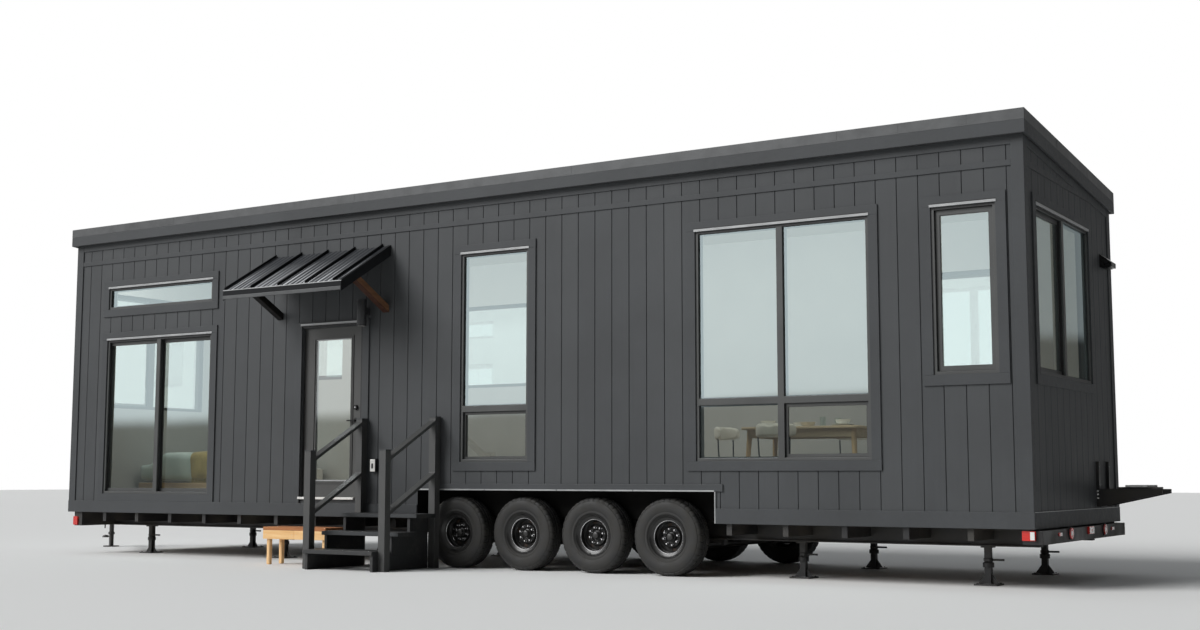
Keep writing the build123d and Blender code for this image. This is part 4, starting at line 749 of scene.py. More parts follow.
casings = []
for u0, u1, v0, v1 in (TRANSOM, SLIDER, TALL, WIDE, SMALL):
    counts = (max(2, round(side / NAIL_PITCH)) for side in (u1 - u0, v1 - v0))
    casings.append((FRONT, (u0, u1, v0, v1), *counts, CASING_PAIR))
casings += [(wall, END_WINDOW, 5, 4, (0.0,)) for wall in (RIGHT_END, LEFT_END)]
nails = []
for wall, (u0, u1, v0, v1), across, up, pair in casings:
    for s in pair:
        nails += [(wall, u, v + s) for v in (v0 - MID_CASING, v1 + MID_CASING) for u in evenly(u0, u1, across)]
        nails += [(wall, u + s, v) for u in (u0 - MID_CASING, u1 + MID_CASING) for v in evenly(v0, v1, up)]
mesh = bmesh.new()
for wall, u, v in nails:
    sign = -1 if wall is RIGHT_END else 1
    head = [(0.0, -0.0006 * sign), (0.0026, -0.0004 * sign), (0.0036, 0.0)]
    turn(mesh, head, wall(u, v, 0.025), "y" if wall is FRONT else "x", 8)
finished("casing_nail_heads", mesh, trim_paint, smooth=60)


# The roof: a grey membrane over the sloping deck, white boards under it indoors, and a folded metal cap all
# round its edge in lengths that lap at flat seams.
membrane, tree = material("roof_membrane")
stains = drift(tree, 1.6, detail=6.0, rough=0.6)
facing = node(tree, "ShaderNodeNewGeometry").outputs["Normal"]
down = reckon(tree, "LESS_THAN", node(tree, "ShaderNodeSeparateXYZ", Vector=facing).outputs["Z"], -0.5)
ceiling = reckon(tree, "MULTIPLY", down, indoors(tree))
sheet_tone = between(tree, spread(tree, stains, 0.35, 0.7, 0.0, 1.0), (0.085, 0.085, 0.088), (0.135, 0.133, 0.128))
principled(
    tree,
    Base_Color=between(tree, ceiling, sheet_tone, (0.66, 0.65, 0.62)),
    Roughness=spread(tree, stains, 0.3, 0.7, 0.62, 0.80),
    Normal=relief(tree, drift(tree, 30.0, detail=4.0), 0.0012, 0.5),
)
dress(membrane, "roof", edge=0.002)

cap_metal, tree = material("charcoal_edge_metal")
handled = drift(tree, 5.0, detail=5.0, rough=0.6)
worn = spread(tree, handled, 0.35, 0.7, 0.0, 1.0)
principled(
    tree,
    Base_Color=between(tree, worn, (0.056, 0.058, 0.060), (0.080, 0.083, 0.085)),
    Metallic=0.35,
    Roughness=spread(tree, handled, 0.3, 0.7, 0.34, 0.50),
    Normal=relief(tree, drift(tree, 3.0), 0.004, 0.25),
)
dress(cap_metal, "roof_edge_cap", edge=0.002)

CAP_LAPS = (1.85, 4.90, 7.95, 11.00, 11.62, 12.28)
CAP_LINE = 4.309
HALF_LAP = 0.045
LAP = 0.0015
(left_face, right_face), (front_face, _), _ = span("roof_edge_cap")
laps = []
for u in CAP_LAPS:
    top = CAP_LINE - (front_face + FRONT_EAVE) * ROOF_FALL
    laps.append(((u - HALF_LAP, u + HALF_LAP), (front_face - LAP, front_face + 0.002), (top - 0.088, top - 0.003)))
for y in (1.0, 2.1):
    top = CAP_LINE - (y + 0.113) * ROOF_FALL
    for x in ((left_face - LAP, left_face + 0.002), (right_face - 0.002, right_face + LAP)):
        laps.append((x, (y - HALF_LAP, y + HALF_LAP), (top - 0.088, top - 0.003)))
mesh = blocks(*laps)
finished("edge_cap_laps", mesh, cap_metal)


# Windows: charcoal frames with black gasket rings, each pane held by a bead, under a folded metal drip cap. The
# sliding ones have a sash of their own; black liners on the reveals and black faces over the sliding stiles are
# painted shade. Clear double glazing that mirrors the surroundings well.
window_paint = coat(
    "charcoal_window_frame", 2.4, (0.044, 0.046, 0.046), (0.066, 0.068, 0.066), (0.32, 0.44),
    detail=4.0, bump=(90.0, 2.0, 0.0003),
)
dress(window_paint, "front_window_frames", "end_window_frames", "back_window_frames", edge=0.0025)

black_gaskets_and_painted_shade, tree = material("black_gaskets_and_painted_shade")
principled(
    tree,
    Base_Color=between(tree, drift(tree, 30.0), (0.006, 0.006, 0.007), (0.014, 0.014, 0.014)),
    Roughness=spread(tree, drift(tree, 50.0), 0.3, 0.7, 0.45, 0.65),
)


def clear_glass(name, mirrored, tint):
    """Panes that let light through and mirror a share of it, more at a slant."""
    made, tree = material(name)
    slant = node(tree, "ShaderNodeFresnel", IOR=1.6)
    ripple = relief(tree, drift(tree, 1.3, detail=1.0), 0.004, 0.12)
    first = spread(tree, node(tree, "ShaderNodeNewGeometry").outputs["Backfacing"], 0.0, 1.0, 1.0, 0.0)
    share = reckon(tree, "MULTIPLY", spread(tree, slant.outputs[0], 0.05, 0.6, mirrored, 0.85), first)
    through = node(tree, "ShaderNodeBsdfTransparent", Color=(0.94, 0.97, 0.95, 1))
    mirror = node(tree, "ShaderNodeBsdfGlossy", Color=tint, Roughness=0.015, Normal=ripple)
    surface(tree, blended(tree, share, through.outputs[0], mirror.outputs[0]))
    return made


WINDOW_GLASS = clear_glass("window_glass_clear", 0.42, (0.80, 0.96, 1.0, 1))
dress(WINDOW_GLASS, "front_window_glass", "back_and_end_glass")


def hoop(mesh, wall, outer, inner, low, high):
    """A mitred rectangular ring on a wall, between two distances out of it."""
    rings = []
    for (u0, u1, v0, v1), out in ((outer, low), (outer, high), (inner, high), (inner, low)):
        rings.append([mesh.verts.new(wall(u, v, out)) for u, v in ((u0, v0), (u1, v0), (u1, v1), (u0, v1))])
    loft(mesh, rings + rings[:1])


def grown(pane, by):
    """A rectangle on a wall with more on each side."""
    return (pane[0] - by, pane[1] + by, pane[2] - by, pane[3] + by)


# Every pane, its glass's distance behind the siding and the width of its sash. A fixed pane has a gasket alone;
# the others have a sash of their own and a black liner on the reveal, and the sliding ones black faces over their
# stiles, both painted shade.
FIXED, SASHED, OUTER, INNER = 0.014, 0.036, 0.045, 0.064
END_PANES = [((0.344, 1.1995, 1.962, 3.465), OUTER, 0.034), ((1.2675, 2.123, 1.962, 3.465), FIXED, 0)]
PANES = {
    FRONT: [
        ((0.668, 2.535, 3.225, 3.445), FIXED, 0),
        ((0.668, 1.5675, 0.813, 2.760), OUTER, 0.012), ((1.6355, 2.535, 0.813, 2.760), INNER, 0.014),
        ((6.510, 7.361, 1.192, 1.712), SASHED, 0.022), ((6.510, 7.361, 1.780, 3.450), FIXED, 0),
        ((9.480, 10.349, 1.186, 1.712), FIXED, 0), ((10.417, 11.286, 1.186, 1.712), SASHED, 0.028),
        ((9.480, 10.349, 1.780, 3.450), FIXED, 0), ((10.417, 11.286, 1.780, 3.450), FIXED, 0),
        ((11.967, 12.518, 1.962, 3.465), SASHED, 0.044),
    ],
    BACK: [
        ((1.230, 2.070, 2.420, 3.260), SASHED, 0.030), ((4.130, 5.370, 2.220, 3.260), FIXED, 0),
        ((10.130, 10.816, 2.020, 3.260), OUTER, 0.014), ((10.884, 11.570, 2.020, 3.260), INNER, 0.014),
    ],
    RIGHT_END: END_PANES,
    LEFT_END: END_PANES,
}
sashes, gaskets_and_shade = bmesh.new(), bmesh.new()
for wall, panes in PANES.items():
    for pane, depth, stile in panes:
        u0, u1, v0, v1 = pane
        hoop(sashes, wall, pane, grown(pane, -0.013), -0.0735, -depth - 0.0065)
        if depth == FIXED:
            hoop(gaskets_and_shade, wall, pane, grown(pane, -0.0035), -0.0135, -0.0040)
            continue
        # A black liner over the reveal from the glass out to the frame: painted shade.
        hoop(gaskets_and_shade, wall, pane, grown(pane, -0.0025), -depth + 0.0005, -0.0060)
        rail = 0.042 if depth in (OUTER, INNER) else stile + 0.006
        opening = (u0 + stile, u1 - stile, v0 + rail, v1 - rail)
        hoop(sashes, wall, grown(pane, -0.0030), opening, -depth + 0.0005, -depth + 0.018)
        hoop(gaskets_and_shade, wall, grown(opening, 0.0002), grown(opening, -0.0025), -depth + 0.0005, -depth + 0.0160)
        # Black faces over the sliding sashes' stiles: painted shade where the stiles sit in shadow.
        if depth in (OUTER, INNER):
            for a, b in ((u0 + 0.0025, u0 + stile + 0.0010), (u1 - stile - 0.0010, u1 - 0.0025)):
                corners = ((a, v0 + rail), (b, v0 + rail), (b, v1 - rail), (a, v1 - rail))
                gaskets_and_shade.faces.new([gaskets_and_shade.verts.new(wall(u, v, -depth + 0.0185)) for u, v in corners])
finished("window_sashes", sashes, window_paint, edge=0.0015, segments=1)
finished("window_gaskets_and_painted_shade", gaskets_and_shade, black_gaskets_and_painted_shade)

# Drip caps: thin folded metal over each head, paler than the trim paint as a painted highlight, open a little at the
# front, with black strips above and below as painted shadow.
pale_metal_highlight = coat(
    "drip_metal_painted_highlight", 6.0, (0.30, 0.306, 0.31), (0.44, 0.446, 0.45), (0.30, 0.46), detail=4.0, Metallic=0.5
)
DRIP_PAST = 0.010
metal, painted_shadow_strips = bmesh.new(), bmesh.new()
for wall, u0, u1, v in (
    (FRONT, 0.638, 2.565, 3.475), (FRONT, 0.638, 2.565, 2.790), (FRONT, 6.480, 7.391, 3.480),
    (FRONT, 9.450, 11.316, 3.480), (FRONT, 11.937, 12.548, 3.495), (FRONT, 4.090, 4.980, 2.800),
    (RIGHT_END, 0.314, 2.153, 3.495), (LEFT_END, 0.314, 2.153, 3.495),
):
    profile = [(0.010, -0.0030), (0.0285, -0.0045), (0.0315, -0.0020), (0.0315, 0.0020), (0.0292, 0.0045),
               (0.0300, 0.0170), (0.0282, 0.0200), (0.0254, 0.0190), (0.0254, 0.0008), (0.010, 0.0008)]
    ends = []
    for a in (u0 - DRIP_PAST, u1 + DRIP_PAST):
        ends.append([metal.verts.new(wall(a, v + up, out)) for out, up in profile])
    loft(metal, ends, ends=True)
    # Black strips above the cap and under it on the frame's head: painted shadow lines where the cap stands proud.
    over = (u0 - 0.011, u1 + 0.011, v + 0.0185, v + 0.0310)
    hoop(painted_shadow_strips, wall, over, (u0, u1, v + 0.0240, v + 0.0250), 0.0245, 0.0262)
    under = (u0 + 0.002, u1 - 0.002, v - 0.0280, v - 0.0010)
    hoop(painted_shadow_strips, wall, under, (u0 + 0.02, u1 - 0.02, v - 0.0150, v - 0.0145), 0.0095, 0.0112)
finished("drip_caps", metal, pale_metal_highlight)
finished("drip_cap_painted_shadow_strips", painted_shadow_strips, black_gaskets_and_painted_shade)

# The same pale metal, its paleness a painted highlight, edges the wheel opening in four lengths, and caps the skirt
# of the right end.
left, right, _, top = WHEEL_OPENING
quarter = (right - left) / 4
edges = [((right - 0.0020, right + 0.0090), (-0.0262, -0.0200), (0.542, top - 0.002)),
         ((LENGTH + 0.0200, LENGTH + 0.0262), (0.002, DEPTH - 0.002), (0.6860, 0.6915))]
for k in range(4):
    start = left + k * quarter
    edges.append(((start + 0.004, start + quarter - 0.004), (-0.0268, -0.0200), (top - 0.0010, top + 0.0140)))
mesh = blocks(*edges)
finished("wheel_opening_and_skirt_edges", mesh, pale_metal_highlight, edge=0.0008, segments=1)


# The entrance: an insulated steel door with one tall light, hung in a painted timber frame over a bright
# metal threshold. The light's moulding stands a little proud and has a pale inner edge.
door_coat = coat(
    "door_satin_coat", 1.8, (0.046, 0.046, 0.045), (0.058, 0.058, 0.055), (0.36, 0.48),
    detail=4.0, bump=(120.0, 3.0, 0.0003),
)
dress(door_coat, "door_leaf", edge=0.0025)
dress(trim_paint, "door_frame", edge=0.002)
DOOR_GLASS = clear_glass("door_glass_clear", 0.30, (0.90, 0.96, 0.97, 1))
dress(DOOR_GLASS, "door_glass")
(_, LEAF_RIGHT), (LEAF_FACE, LEAF_BACK), (LEAF_LOW, _) = span("door_leaf")
light_x, _, light_z = span("door_glass")
LIGHT = (*light_x, *light_z)
mouldings, pale_edges = bmesh.new(), bmesh.new()
for near, sign in ((-LEAF_FACE, 1), (-LEAF_BACK, -1)):
    for mesh, out, inner, start, end in (
        (mouldings, 0.026, -0.004, -0.004, 0.009), (mouldings, 0.010, -0.008, 0.0, 0.013),
        (pale_edges, -0.006, -0.019, -0.0075, -0.002),
    ):
        low, high = sorted((near + sign * start, near + sign * end))
        hoop(mesh, FRONT, grown(LIGHT, out), grown(LIGHT, inner), low, high)
finished("door_light_moulding", mouldings, door_coat, body="door", edge=0.0025)
finished("door_light_inner_edge", pale_edges, pale_metal_highlight, body="door", edge=0.001, segments=1)

threshold_metal = coat(
    "bright_threshold", 24.0, (0.62, 0.61, 0.58), (0.82, 0.81, 0.78), (0.30, 0.5),
    stretch=(0.2, 1.0, 1.0), detail=4.0, Metallic=0.25,
)
mesh = bmesh.new()
sill = [(-0.052, 0.738), (-0.052, 0.7605), (-0.046, 0.7640), (0.030, 0.7645), (0.030, 0.738)]
prism(mesh, sill, "x", 4.100, 4.964)
finished("door_threshold", mesh, threshold_metal, edge=0.0015)

hardware = coat(
    "hardware_black", 35.0, (0.008, 0.008, 0.008), (0.020, 0.020, 0.020), (0.22, 0.40), detail=4.0, Metallic=0.5
)
dress(hardware, "door_handle", "door_hinges", "door_hinge_leaves", edge=0.0012)
LOCK_X = LEAF_RIGHT - 0.090
LEVER_Z = LEAF_LOW + 0.888
DEADBOLT_Z = LEVER_Z + 0.152
cylinder = at(LOCK_X, LEAF_FACE, DEADBOLT_Z)
mesh = bmesh.new()
for near, sign in ((LEAF_FACE, -1), (LEAF_BACK, 1)):
    rose = [(0.031, 0.0), (0.031, sign * 0.003), (0.028, sign * 0.006), (0.028, 0.0)]
    for z in (LEVER_Z, DEADBOLT_Z):
        turn(mesh, rose, at(LOCK_X, near, z), "y")
turn(mesh, [(0.0, -0.027), (0.013, -0.0265), (0.017, -0.024), (0.017, 0.0)], cylinder, "y")
finished("lock_roses", mesh, hardware, body="door", smooth=35)
mesh = bmesh.new()
turn(mesh, [(0.0, -0.0285), (0.0075, -0.0275), (0.0085, -0.0255), (0.0085, 0.0)], cylinder, "y", 24)
block(mesh, (LEAF_RIGHT - 0.0005, LEAF_RIGHT + 0.0015), (LEAF_FACE + 0.010, LEAF_FACE + 0.036),
      (LEVER_Z - 0.028, LEVER_Z + 0.028))
finished("lock_bright_parts", mesh, bright_metal, body="door", smooth=35)
# A black ring over the door's reveal and casing edges: painted shadow for the dark lines at the casing's edges.
mesh = bmesh.new()
hoop(mesh, FRONT, (4.0655, 5.0485, 0.760, 2.8075), (4.1005, 5.0135, 0.7605, 2.7725), -0.0305, 0.0010)
finished("door_reveal_painted_shadow", mesh, black_gaskets_and_painted_shade)


# The canopy over the door: standing-seam steel sheet, ribbed lightly between its seams, with painted highlights along
# the ribs near its front edge and its seams and rakes painted darker as painted shade, on a timber frame with a
# folded fascia. Two timber braces carry it, both of one brown stain; the left one is painted near black and the right
# one's underside darker, as painted shade.
(CANOPY_LEFT, CANOPY_RIGHT), (CANOPY_EDGE, _), _ = span("canopy_roof")
CANOPY_HEAD = 3.665
CANOPY_FALL = (CANOPY_HEAD - 3.168) / 0.840


def canopy_top(y):
    return CANOPY_HEAD + y * CANOPY_FALL


RIB_PITCH = 0.075
sheet_steel_with_painted_highlights, tree = material("seamed_steel_painted_rib_highlights")
spot = position(tree)
EDGE_Y = HOUSE.y + CANOPY_EDGE
# Painted highlights: pale lines along the pencil ribs, brightest at the front edge and fading up the slope, broken by
# noise; they stand in for the glints on the ribs.
highlight_near_edge = spread(tree, spot["Y"], EDGE_Y + 0.08, EDGE_Y + 0.60, 1.0, 0.0)
highlight_breakup_noise = drift(tree, 22.0, stretch=(1.0, 0.03, 0.03), detail=4.0, rough=0.7)
wander = spread(tree, highlight_breakup_noise, 0.3, 0.7, -1.6, 1.6)
ribbed = reckon(tree, "SINE", reckon(tree, "MULTIPLY_ADD", spot["X"], 2 * math.pi / RIB_PITCH, wander))
lined = reckon(tree, "MULTIPLY", highlight_near_edge, spread(tree, ribbed, 0.10, 0.70, 0.0, 1.0))
streaks = spread(tree, spread(tree, highlight_breakup_noise, 0.50, 0.62, 0.0, 1.0), 0.0, 1.0, 0.55, 1.0)
rib_highlight_share = reckon(tree, "MULTIPLY", lined, streaks)
principled(
    tree,
    Base_Color=between(tree, rib_highlight_share, (0.040, 0.043, 0.048), (0.80, 0.82, 0.85)),
    Specular_IOR_Level=0.2,
    Roughness=spread(tree, rib_highlight_share, 0.0, 1.0, 0.40, 0.58),
    Normal=relief(tree, drift(tree, 9.0, detail=2.0), 0.0015, 0.3),
)
# This steel is coloured far darker than the sheet's own steel: painted shade on the seams, rakes and upper fascia
# band.
shaded_seam_steel = coat(
    "seam_steel_painted_shade", 5.0, (0.009, 0.010, 0.011), (0.022, 0.023, 0.025), (0.62, 0.78),
    detail=4.0, Specular_IOR_Level=0.12,
)
dress(shaded_seam_steel, "canopy_roof")
dress(trim_paint, "canopy_frame", edge=0.003)

SEAM_PITCH = 0.422
SEAM_XS = [CANOPY_LEFT + 0.010 + SEAM_PITCH * k for k in range(5)]
mesh = bmesh.new()
section = [(CANOPY_LEFT, 0.0015)]
for start, end in zip(SEAM_XS, SEAM_XS[1:] + [CANOPY_RIGHT]):
    rib = start + 0.052
    while rib + 0.026 < end - 0.02:
        section += [(rib - 0.011, 0.0015), (rib - 0.004, 0.0060), (rib + 0.004, 0.0060), (rib + 0.011, 0.0015)]
        rib += RIB_PITCH
section.append((CANOPY_RIGHT, 0.0015))
rows = []
for y, drop in ((-0.001, 0.0), (CANOPY_EDGE - 0.004, 0.0), (CANOPY_EDGE - 0.006, 0.008)):
    rows.append([mesh.verts.new(at(x, y, canopy_top(y) + h - drop)) for x, h in section])
loft(mesh, rows[::-1], ring=False)
finished("canopy_sheet", mesh, sheet_steel_with_painted_highlights)

def sloping(mesh, x, y, z):
    """A box whose heights are measured from the canopy's slope."""
    for corner in block(mesh, sorted(x), y, z):
        corner.co.z += canopy_top(corner.co.y - HOUSE.y)


mesh = bmesh.new()
for x in SEAM_XS:
    for half, z in ((0.004, (0.0, 0.030)), (0.0075, (0.028, 0.038))):
        sloping(mesh, (x - half, x + half), (0.0, CANOPY_EDGE - 0.004), z)
for side, x in ((-1, CANOPY_LEFT), (1, CANOPY_RIGHT)):
    for inner, z in ((x - side * 0.002, (-0.112, 0.012)), (x - side * 0.040, (0.0065, 0.012))):
        sloping(mesh, (x + side * 0.006, inner), (0.0, CANOPY_EDGE - 0.008), z)
ACROSS_CANOPY = (CANOPY_LEFT - 0.006, CANOPY_RIGHT + 0.006)
EDGE_Z = canopy_top(CANOPY_EDGE)
block(mesh, ACROSS_CANOPY, (CANOPY_EDGE - 0.012, CANOPY_EDGE), (EDGE_Z - 0.060, EDGE_Z - 0.005))
finished("canopy_seams_and_rakes", mesh, shaded_seam_steel, edge=0.0012, segments=1)
# The drip edge's pale metal is a painted highlight along the canopy's front edge.
drip = blocks((ACROSS_CANOPY, (CANOPY_EDGE - 0.012, CANOPY_EDGE), (EDGE_Z - 0.004, EDGE_Z + 0.005)))
finished("canopy_drip_edge", drip, pale_metal_highlight)
board_x = (CANOPY_LEFT - 0.002, CANOPY_RIGHT + 0.002)
board = blocks((board_x, (CANOPY_EDGE - 0.018, CANOPY_EDGE), (EDGE_Z - 0.104, EDGE_Z - 0.062)))
finished("canopy_fascia_board", board, cap_metal, edge=0.003)


def stained_wood(name, pale, deep, along):
    made, tree = material(name)
    stretch = {"x": (0.06, 1.0, 1.0), "y": (1.0, 0.06, 1.0), "z": (1.0, 1.0, 0.06)}[along]
    grain = drift(tree, 34.0, stretch=stretch, detail=8.0, rough=0.62)
    wash = drift(tree, 3.0, detail=3.0)
    tone = between(tree, spread(tree, grain, 0.32, 0.68, 0.0, 1.0), pale, deep)
    principled(
        tree,
        Base_Color=between(tree, spread(tree, wash, 0.35, 0.7, 0.0, 0.35), tone, deep),
        Specular_IOR_Level=0.2,
        Roughness=spread(tree, grain, 0.3, 0.7, 0.50, 0.68),
        Normal=relief(tree, grain, 0.0008, 0.6),
    )
    return made


brown_stain = stained_wood("brown_stained_timber", (0.250, 0.128, 0.066), (0.125, 0.060, 0.032), "y")
brace_underside_painted_shade = stained_wood("brown_underside_painted_shade", (0.070, 0.026, 0.014), (0.036, 0.014, 0.008), "y")
left_brace_painted_shade = stained_wood("timber_painted_near_black_shade", (0.012, 0.011, 0.010), (0.006, 0.005, 0.005), "y")
(braces_left, braces_right), _, _ = span("canopy_braces")
BRACE = 0.089
brace_outline = [(0.0, 2.884), (-0.5930, 3.2101), (-0.5180, 3.2545), (0.0, 2.9696)]
# The left brace is painted near black and the right one's underside a darker brown: painted shade, over one brown
# stain.
for word, x, stains in (("left", braces_left, [left_brace_painted_shade, left_brace_painted_shade]),
                        ("right", braces_right - BRACE, [brown_stain, brace_underside_painted_shade])):
    mesh = bmesh.new()
    prism(mesh, brace_outline, "x", x, x + BRACE)
    mesh.faces.ensure_lookup_table()
    mesh.faces[2].material_index = 1
    piece = finished(f"canopy_brace_{word}", mesh, stains, edge=0.006, segments=3)
    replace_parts(piece, "canopy_braces")


# Fittings round the door: a black tube lamp on a wall plate that shines up and down, and the weatherproof
# socket box beside the steps with its bright lid frame.
lamp_grey = coat(
    "lamp_grey_powder_coat", 90.0, (0.030, 0.031, 0.033), (0.052, 0.054, 0.057), (0.40, 0.55),
    detail=3.0, Metallic=0.2,
)
dress(lamp_grey, "porch_lamp", edge=0.002)
_, _, (lamp_low, lamp_high) = span("porch_lamp")
lamp_line = at(5.118, -0.125, 0.0)
lamp_light = coat("lamp_lens", 60.0, (0.30, 0.29, 0.27), (0.42, 0.41, 0.38), (0.12, 0.25))
mesh = bmesh.new()
for z in (lamp_low + 0.002, lamp_high - 0.012):
    turn(mesh, [(0.0565, z), (0.0565, z + 0.008), (0.0550, z + 0.010), (0.0550, z)], lamp_line, "z", 40)
finished("lamp_bands", mesh, lamp_grey, smooth=35)
mesh = bmesh.new()
for z, inner in ((lamp_low - 0.0005, lamp_low + 0.0035), (lamp_high + 0.0005, lamp_high - 0.0035)):
    turn(mesh, [(0.0, z), (0.044, z), (0.044, inner), (0.0, inner)], lamp_line, "z", 40)
finished("lamp_lenses", mesh, lamp_light, smooth=35)

box_plastic = coat("socket_box_plastic", 80.0, (0.012, 0.012, 0.013), (0.022, 0.022, 0.022), (0.35, 0.5))
dress(box_plastic, "outlet_box", edge=0.004, segments=3)
(x0, x1), _, (z0, z1) = span("outlet_box")
mesh = blocks(((x0 + 0.006, x1 - 0.006), (-0.0585, -0.0545), (z0 + 0.006, z1 - 0.006)))
finished("socket_lid_plate", mesh, threshold_metal, edge=0.002)
mesh = blocks(((x0 + 0.024, x1 - 0.030), (-0.0600, -0.0580), (z0 + 0.040, z1 - 0.052)))
for x in (x0 + 0.012, x1 - 0.026):
    block(mesh, (x, x + 0.014), (-0.050, -0.020), (z1 - 0.0005, z1 + 0.003))
finished("socket_slot_and_hinges", mesh, box_plastic, edge=0.001, segments=1)


# Right end: a black wedge-shaped vent hood up near the back corner and the steel unit shelf, two uprights
# with tapered arms, both bolted through the boards. A pale plate on rubber pads lies on the arms.
dress(hardware, "vent_hood", edge=0.003)
dress(FRAME_PAINT, "wall_bracket", edge=0.002)
_, (y0, y1), (z0, z1) = span("vent_hood")
mesh = bmesh.new()
flange = (y0 - 0.014, y1 + 0.014, z0 - 0.012, z1 + 0.014)
hoop(mesh, RIGHT_END, flange, (y0, y1, z0 + 0.002, z1 - 0.002), 0.0, 0.004)
for k in range(4):
    z = z0 + 0.012 + k * 0.016
    block(mesh, (LENGTH + 0.020, LENGTH + 0.100 - k * 0.010), (y0 + 0.012, y1 - 0.012), (z - 0.0195, z - 0.0165))
finished("vent_flange_and_louvres", mesh, hardware, edge=0.001, segments=1)

ARM_YS = (2.221, 2.621)
BOLT_HEAD = [(0.0, 0.0415), (0.0095, 0.0415), (0.0110, 0.0400), (0.0110, 0.0345), (0.0, 0.0345)]
SIDE_BOLT = [(0.0, -0.0035), (0.0085, -0.0035), (0.0100, -0.0020), (0.0100, 0.001), (0.0, 0.001)]
bolts, feet = bmesh.new(), bmesh.new()
for y in ARM_YS:
    block(feet, (13.065, 13.311), (y - 0.024, y + 0.024), (0.8825, 0.9030))
    for z in (0.745, 0.930, 1.115):
        turn(bolts, BOLT_HEAD, at(LENGTH, y, z), "x", 6)
pale_feet = blocks(((13.090, 13.305), (ARM_YS[0] - 0.020, ARM_YS[1] + 0.020), (0.9030, 0.9220)))
for mesh, y, heights in ((pale_feet, 2.200, (0.862, 0.828, 0.792)), (bolts, 2.600, (0.850, 0.800))):
    for z in heights:
        turn(mesh, SIDE_BOLT, at(12.822, y, z), "y", 6)
finished("bracket_bolts", bolts, bright_metal, smooth=35)
finished("bracket_rubber_pads", feet, black_gaskets_and_painted_shade, edge=0.003)
feet_white, tree = material("pale_rubber")
principled(
    tree,
    Base_Color=between(tree, drift(tree, 40.0), (0.86, 0.86, 0.84), (0.95, 0.95, 0.92)),
    Roughness=spread(tree, drift(tree, 60.0), 0.3, 0.7, 0.5, 0.7),
)
finished("bracket_pale_plate_and_bolts", pale_feet, feet_white, edge=0.002)


# Road lamps on the bumper and the left end: moulded red lenses with ribbed faces over clear or white parts,
# each in a thin black bezel.
red_lens, tree = material("red_lens")
moulding = drift(tree, 40.0, stretch=(1.0, 1.0, 3.0))
principled(
    tree,
    Base_Color=between(tree, moulding, (0.50, 0.010, 0.008), (0.72, 0.030, 0.020)),
    Roughness=spread(tree, moulding, 0.3, 0.7, 0.12, 0.22),
    Normal=relief(tree, moulding, 0.0008, 0.6),
    Coat_Weight=0.6,
)
white_lens = coat("white_lens", 60.0, (0.70, 0.70, 0.68), (0.86, 0.86, 0.84), (0.12, 0.25), Coat_Weight=0.5)
dress(red_lens, "tail_lamps", edge=0.003)
reds, whites, bezels = bmesh.new(), bmesh.new(), bmesh.new()
LENS_RED = [(0.0525, 0.0195), (0.0500, 0.0225), (0.0300, 0.0235), (0.0300, 0.0205)]
LENS_WHITE = [(0.0, 0.0245), (0.0220, 0.0235), (0.0235, 0.0200), (0.0, 0.0200)]
BEZEL = [(0.0515, 0.0), (0.0600, 0.0), (0.0600, 0.0060), (0.0560, 0.0100), (0.0515, 0.0100)]
for y in (0.900, 2.150):
    for mesh, outline, steps in ((bezels, BEZEL, 40), (reds, LENS_RED, 40), (whites, LENS_WHITE, 32)):
        turn(mesh, outline, at(LENGTH + 0.080, y, 0.483), "x", steps)
hoop(whites, RIGHT_END, (1.535, 1.695, 0.466, 0.516), (1.575, 1.655, 0.478, 0.504), 0.0995, 0.1030)
for face, sign in ((-0.020, -1), (DEPTH + 0.020, 1)):
    low, high = sorted((face - sign * 0.002, face + sign * 0.0015))
    block(whites, (12.780, 12.8185), (low, high), (0.448, 0.518))
for y in (0.560, 2.480):
    for mesh, side in ((reds, (y - 0.040, y + 0.010)), (whites, (y + 0.014, y + 0.050))):
        block(mesh, (LENGTH + 0.0795, LENGTH + 0.0900), side, (0.468, 0.498))
finished("lamp_red_faces", reds, red_lens, smooth=35)
finished("lamp_white_faces", whites, white_lens, smooth=35)
finished("lamp_bezels", bezels, black_gaskets_and_painted_shade, smooth=35)


# Front steps: a flight of boards screwed between closed side boards, painted like the house, with square
# newel posts, rails laid flat and thin caps. The walked edges are rubbed paler.
step_paint, tree = material("step_paint")
grain = drift(tree, 60.0, stretch=(0.10, 1.0, 1.0), detail=8.0, rough=0.65)
wear = drift(tree, 3.5, detail=6.0, rough=0.7)
principled(
    tree,
    Base_Color=between(tree, spread(tree, wear, 0.50, 0.72, 0.0, 0.7), (0.020, 0.021, 0.022), (0.060, 0.056, 0.050)),
    Roughness=spread(tree, grain, 0.3, 0.7, 0.50, 0.70),
    Normal=relief(tree, grain, 0.0008, 0.6),
)
dress(step_paint, "step_flight", edge=0.004)
rail_coat, tree = material("rail_paint")
grain = drift(tree, 60.0, stretch=(1.0, 1.0, 0.10), detail=6.0)
principled(
    tree,
    Base_Color=between(tree, drift(tree, 3.0, detail=4.0), (0.042, 0.043, 0.043), (0.068, 0.068, 0.066)),
    Roughness=spread(tree, grain, 0.3, 0.7, 0.42, 0.6),
    Normal=relief(tree, grain, 0.0005, 0.5),
)
dress(rail_coat, "step_railings", edge=0.004)
POST = 0.089
caps, screws, boards = bmesh.new(), bmesh.new(), bmesh.new()
for x in (5.054, 6.124):
    for y, top in ((-0.114, 1.660), (-0.957, 1.282)):
        block(caps, (x - 0.004, x + POST + 0.004), (y - 0.004, y + POST + 0.004), (top - 0.0005, top + 0.009))
finished("newel_caps", caps, trim_paint, edge=0.002)
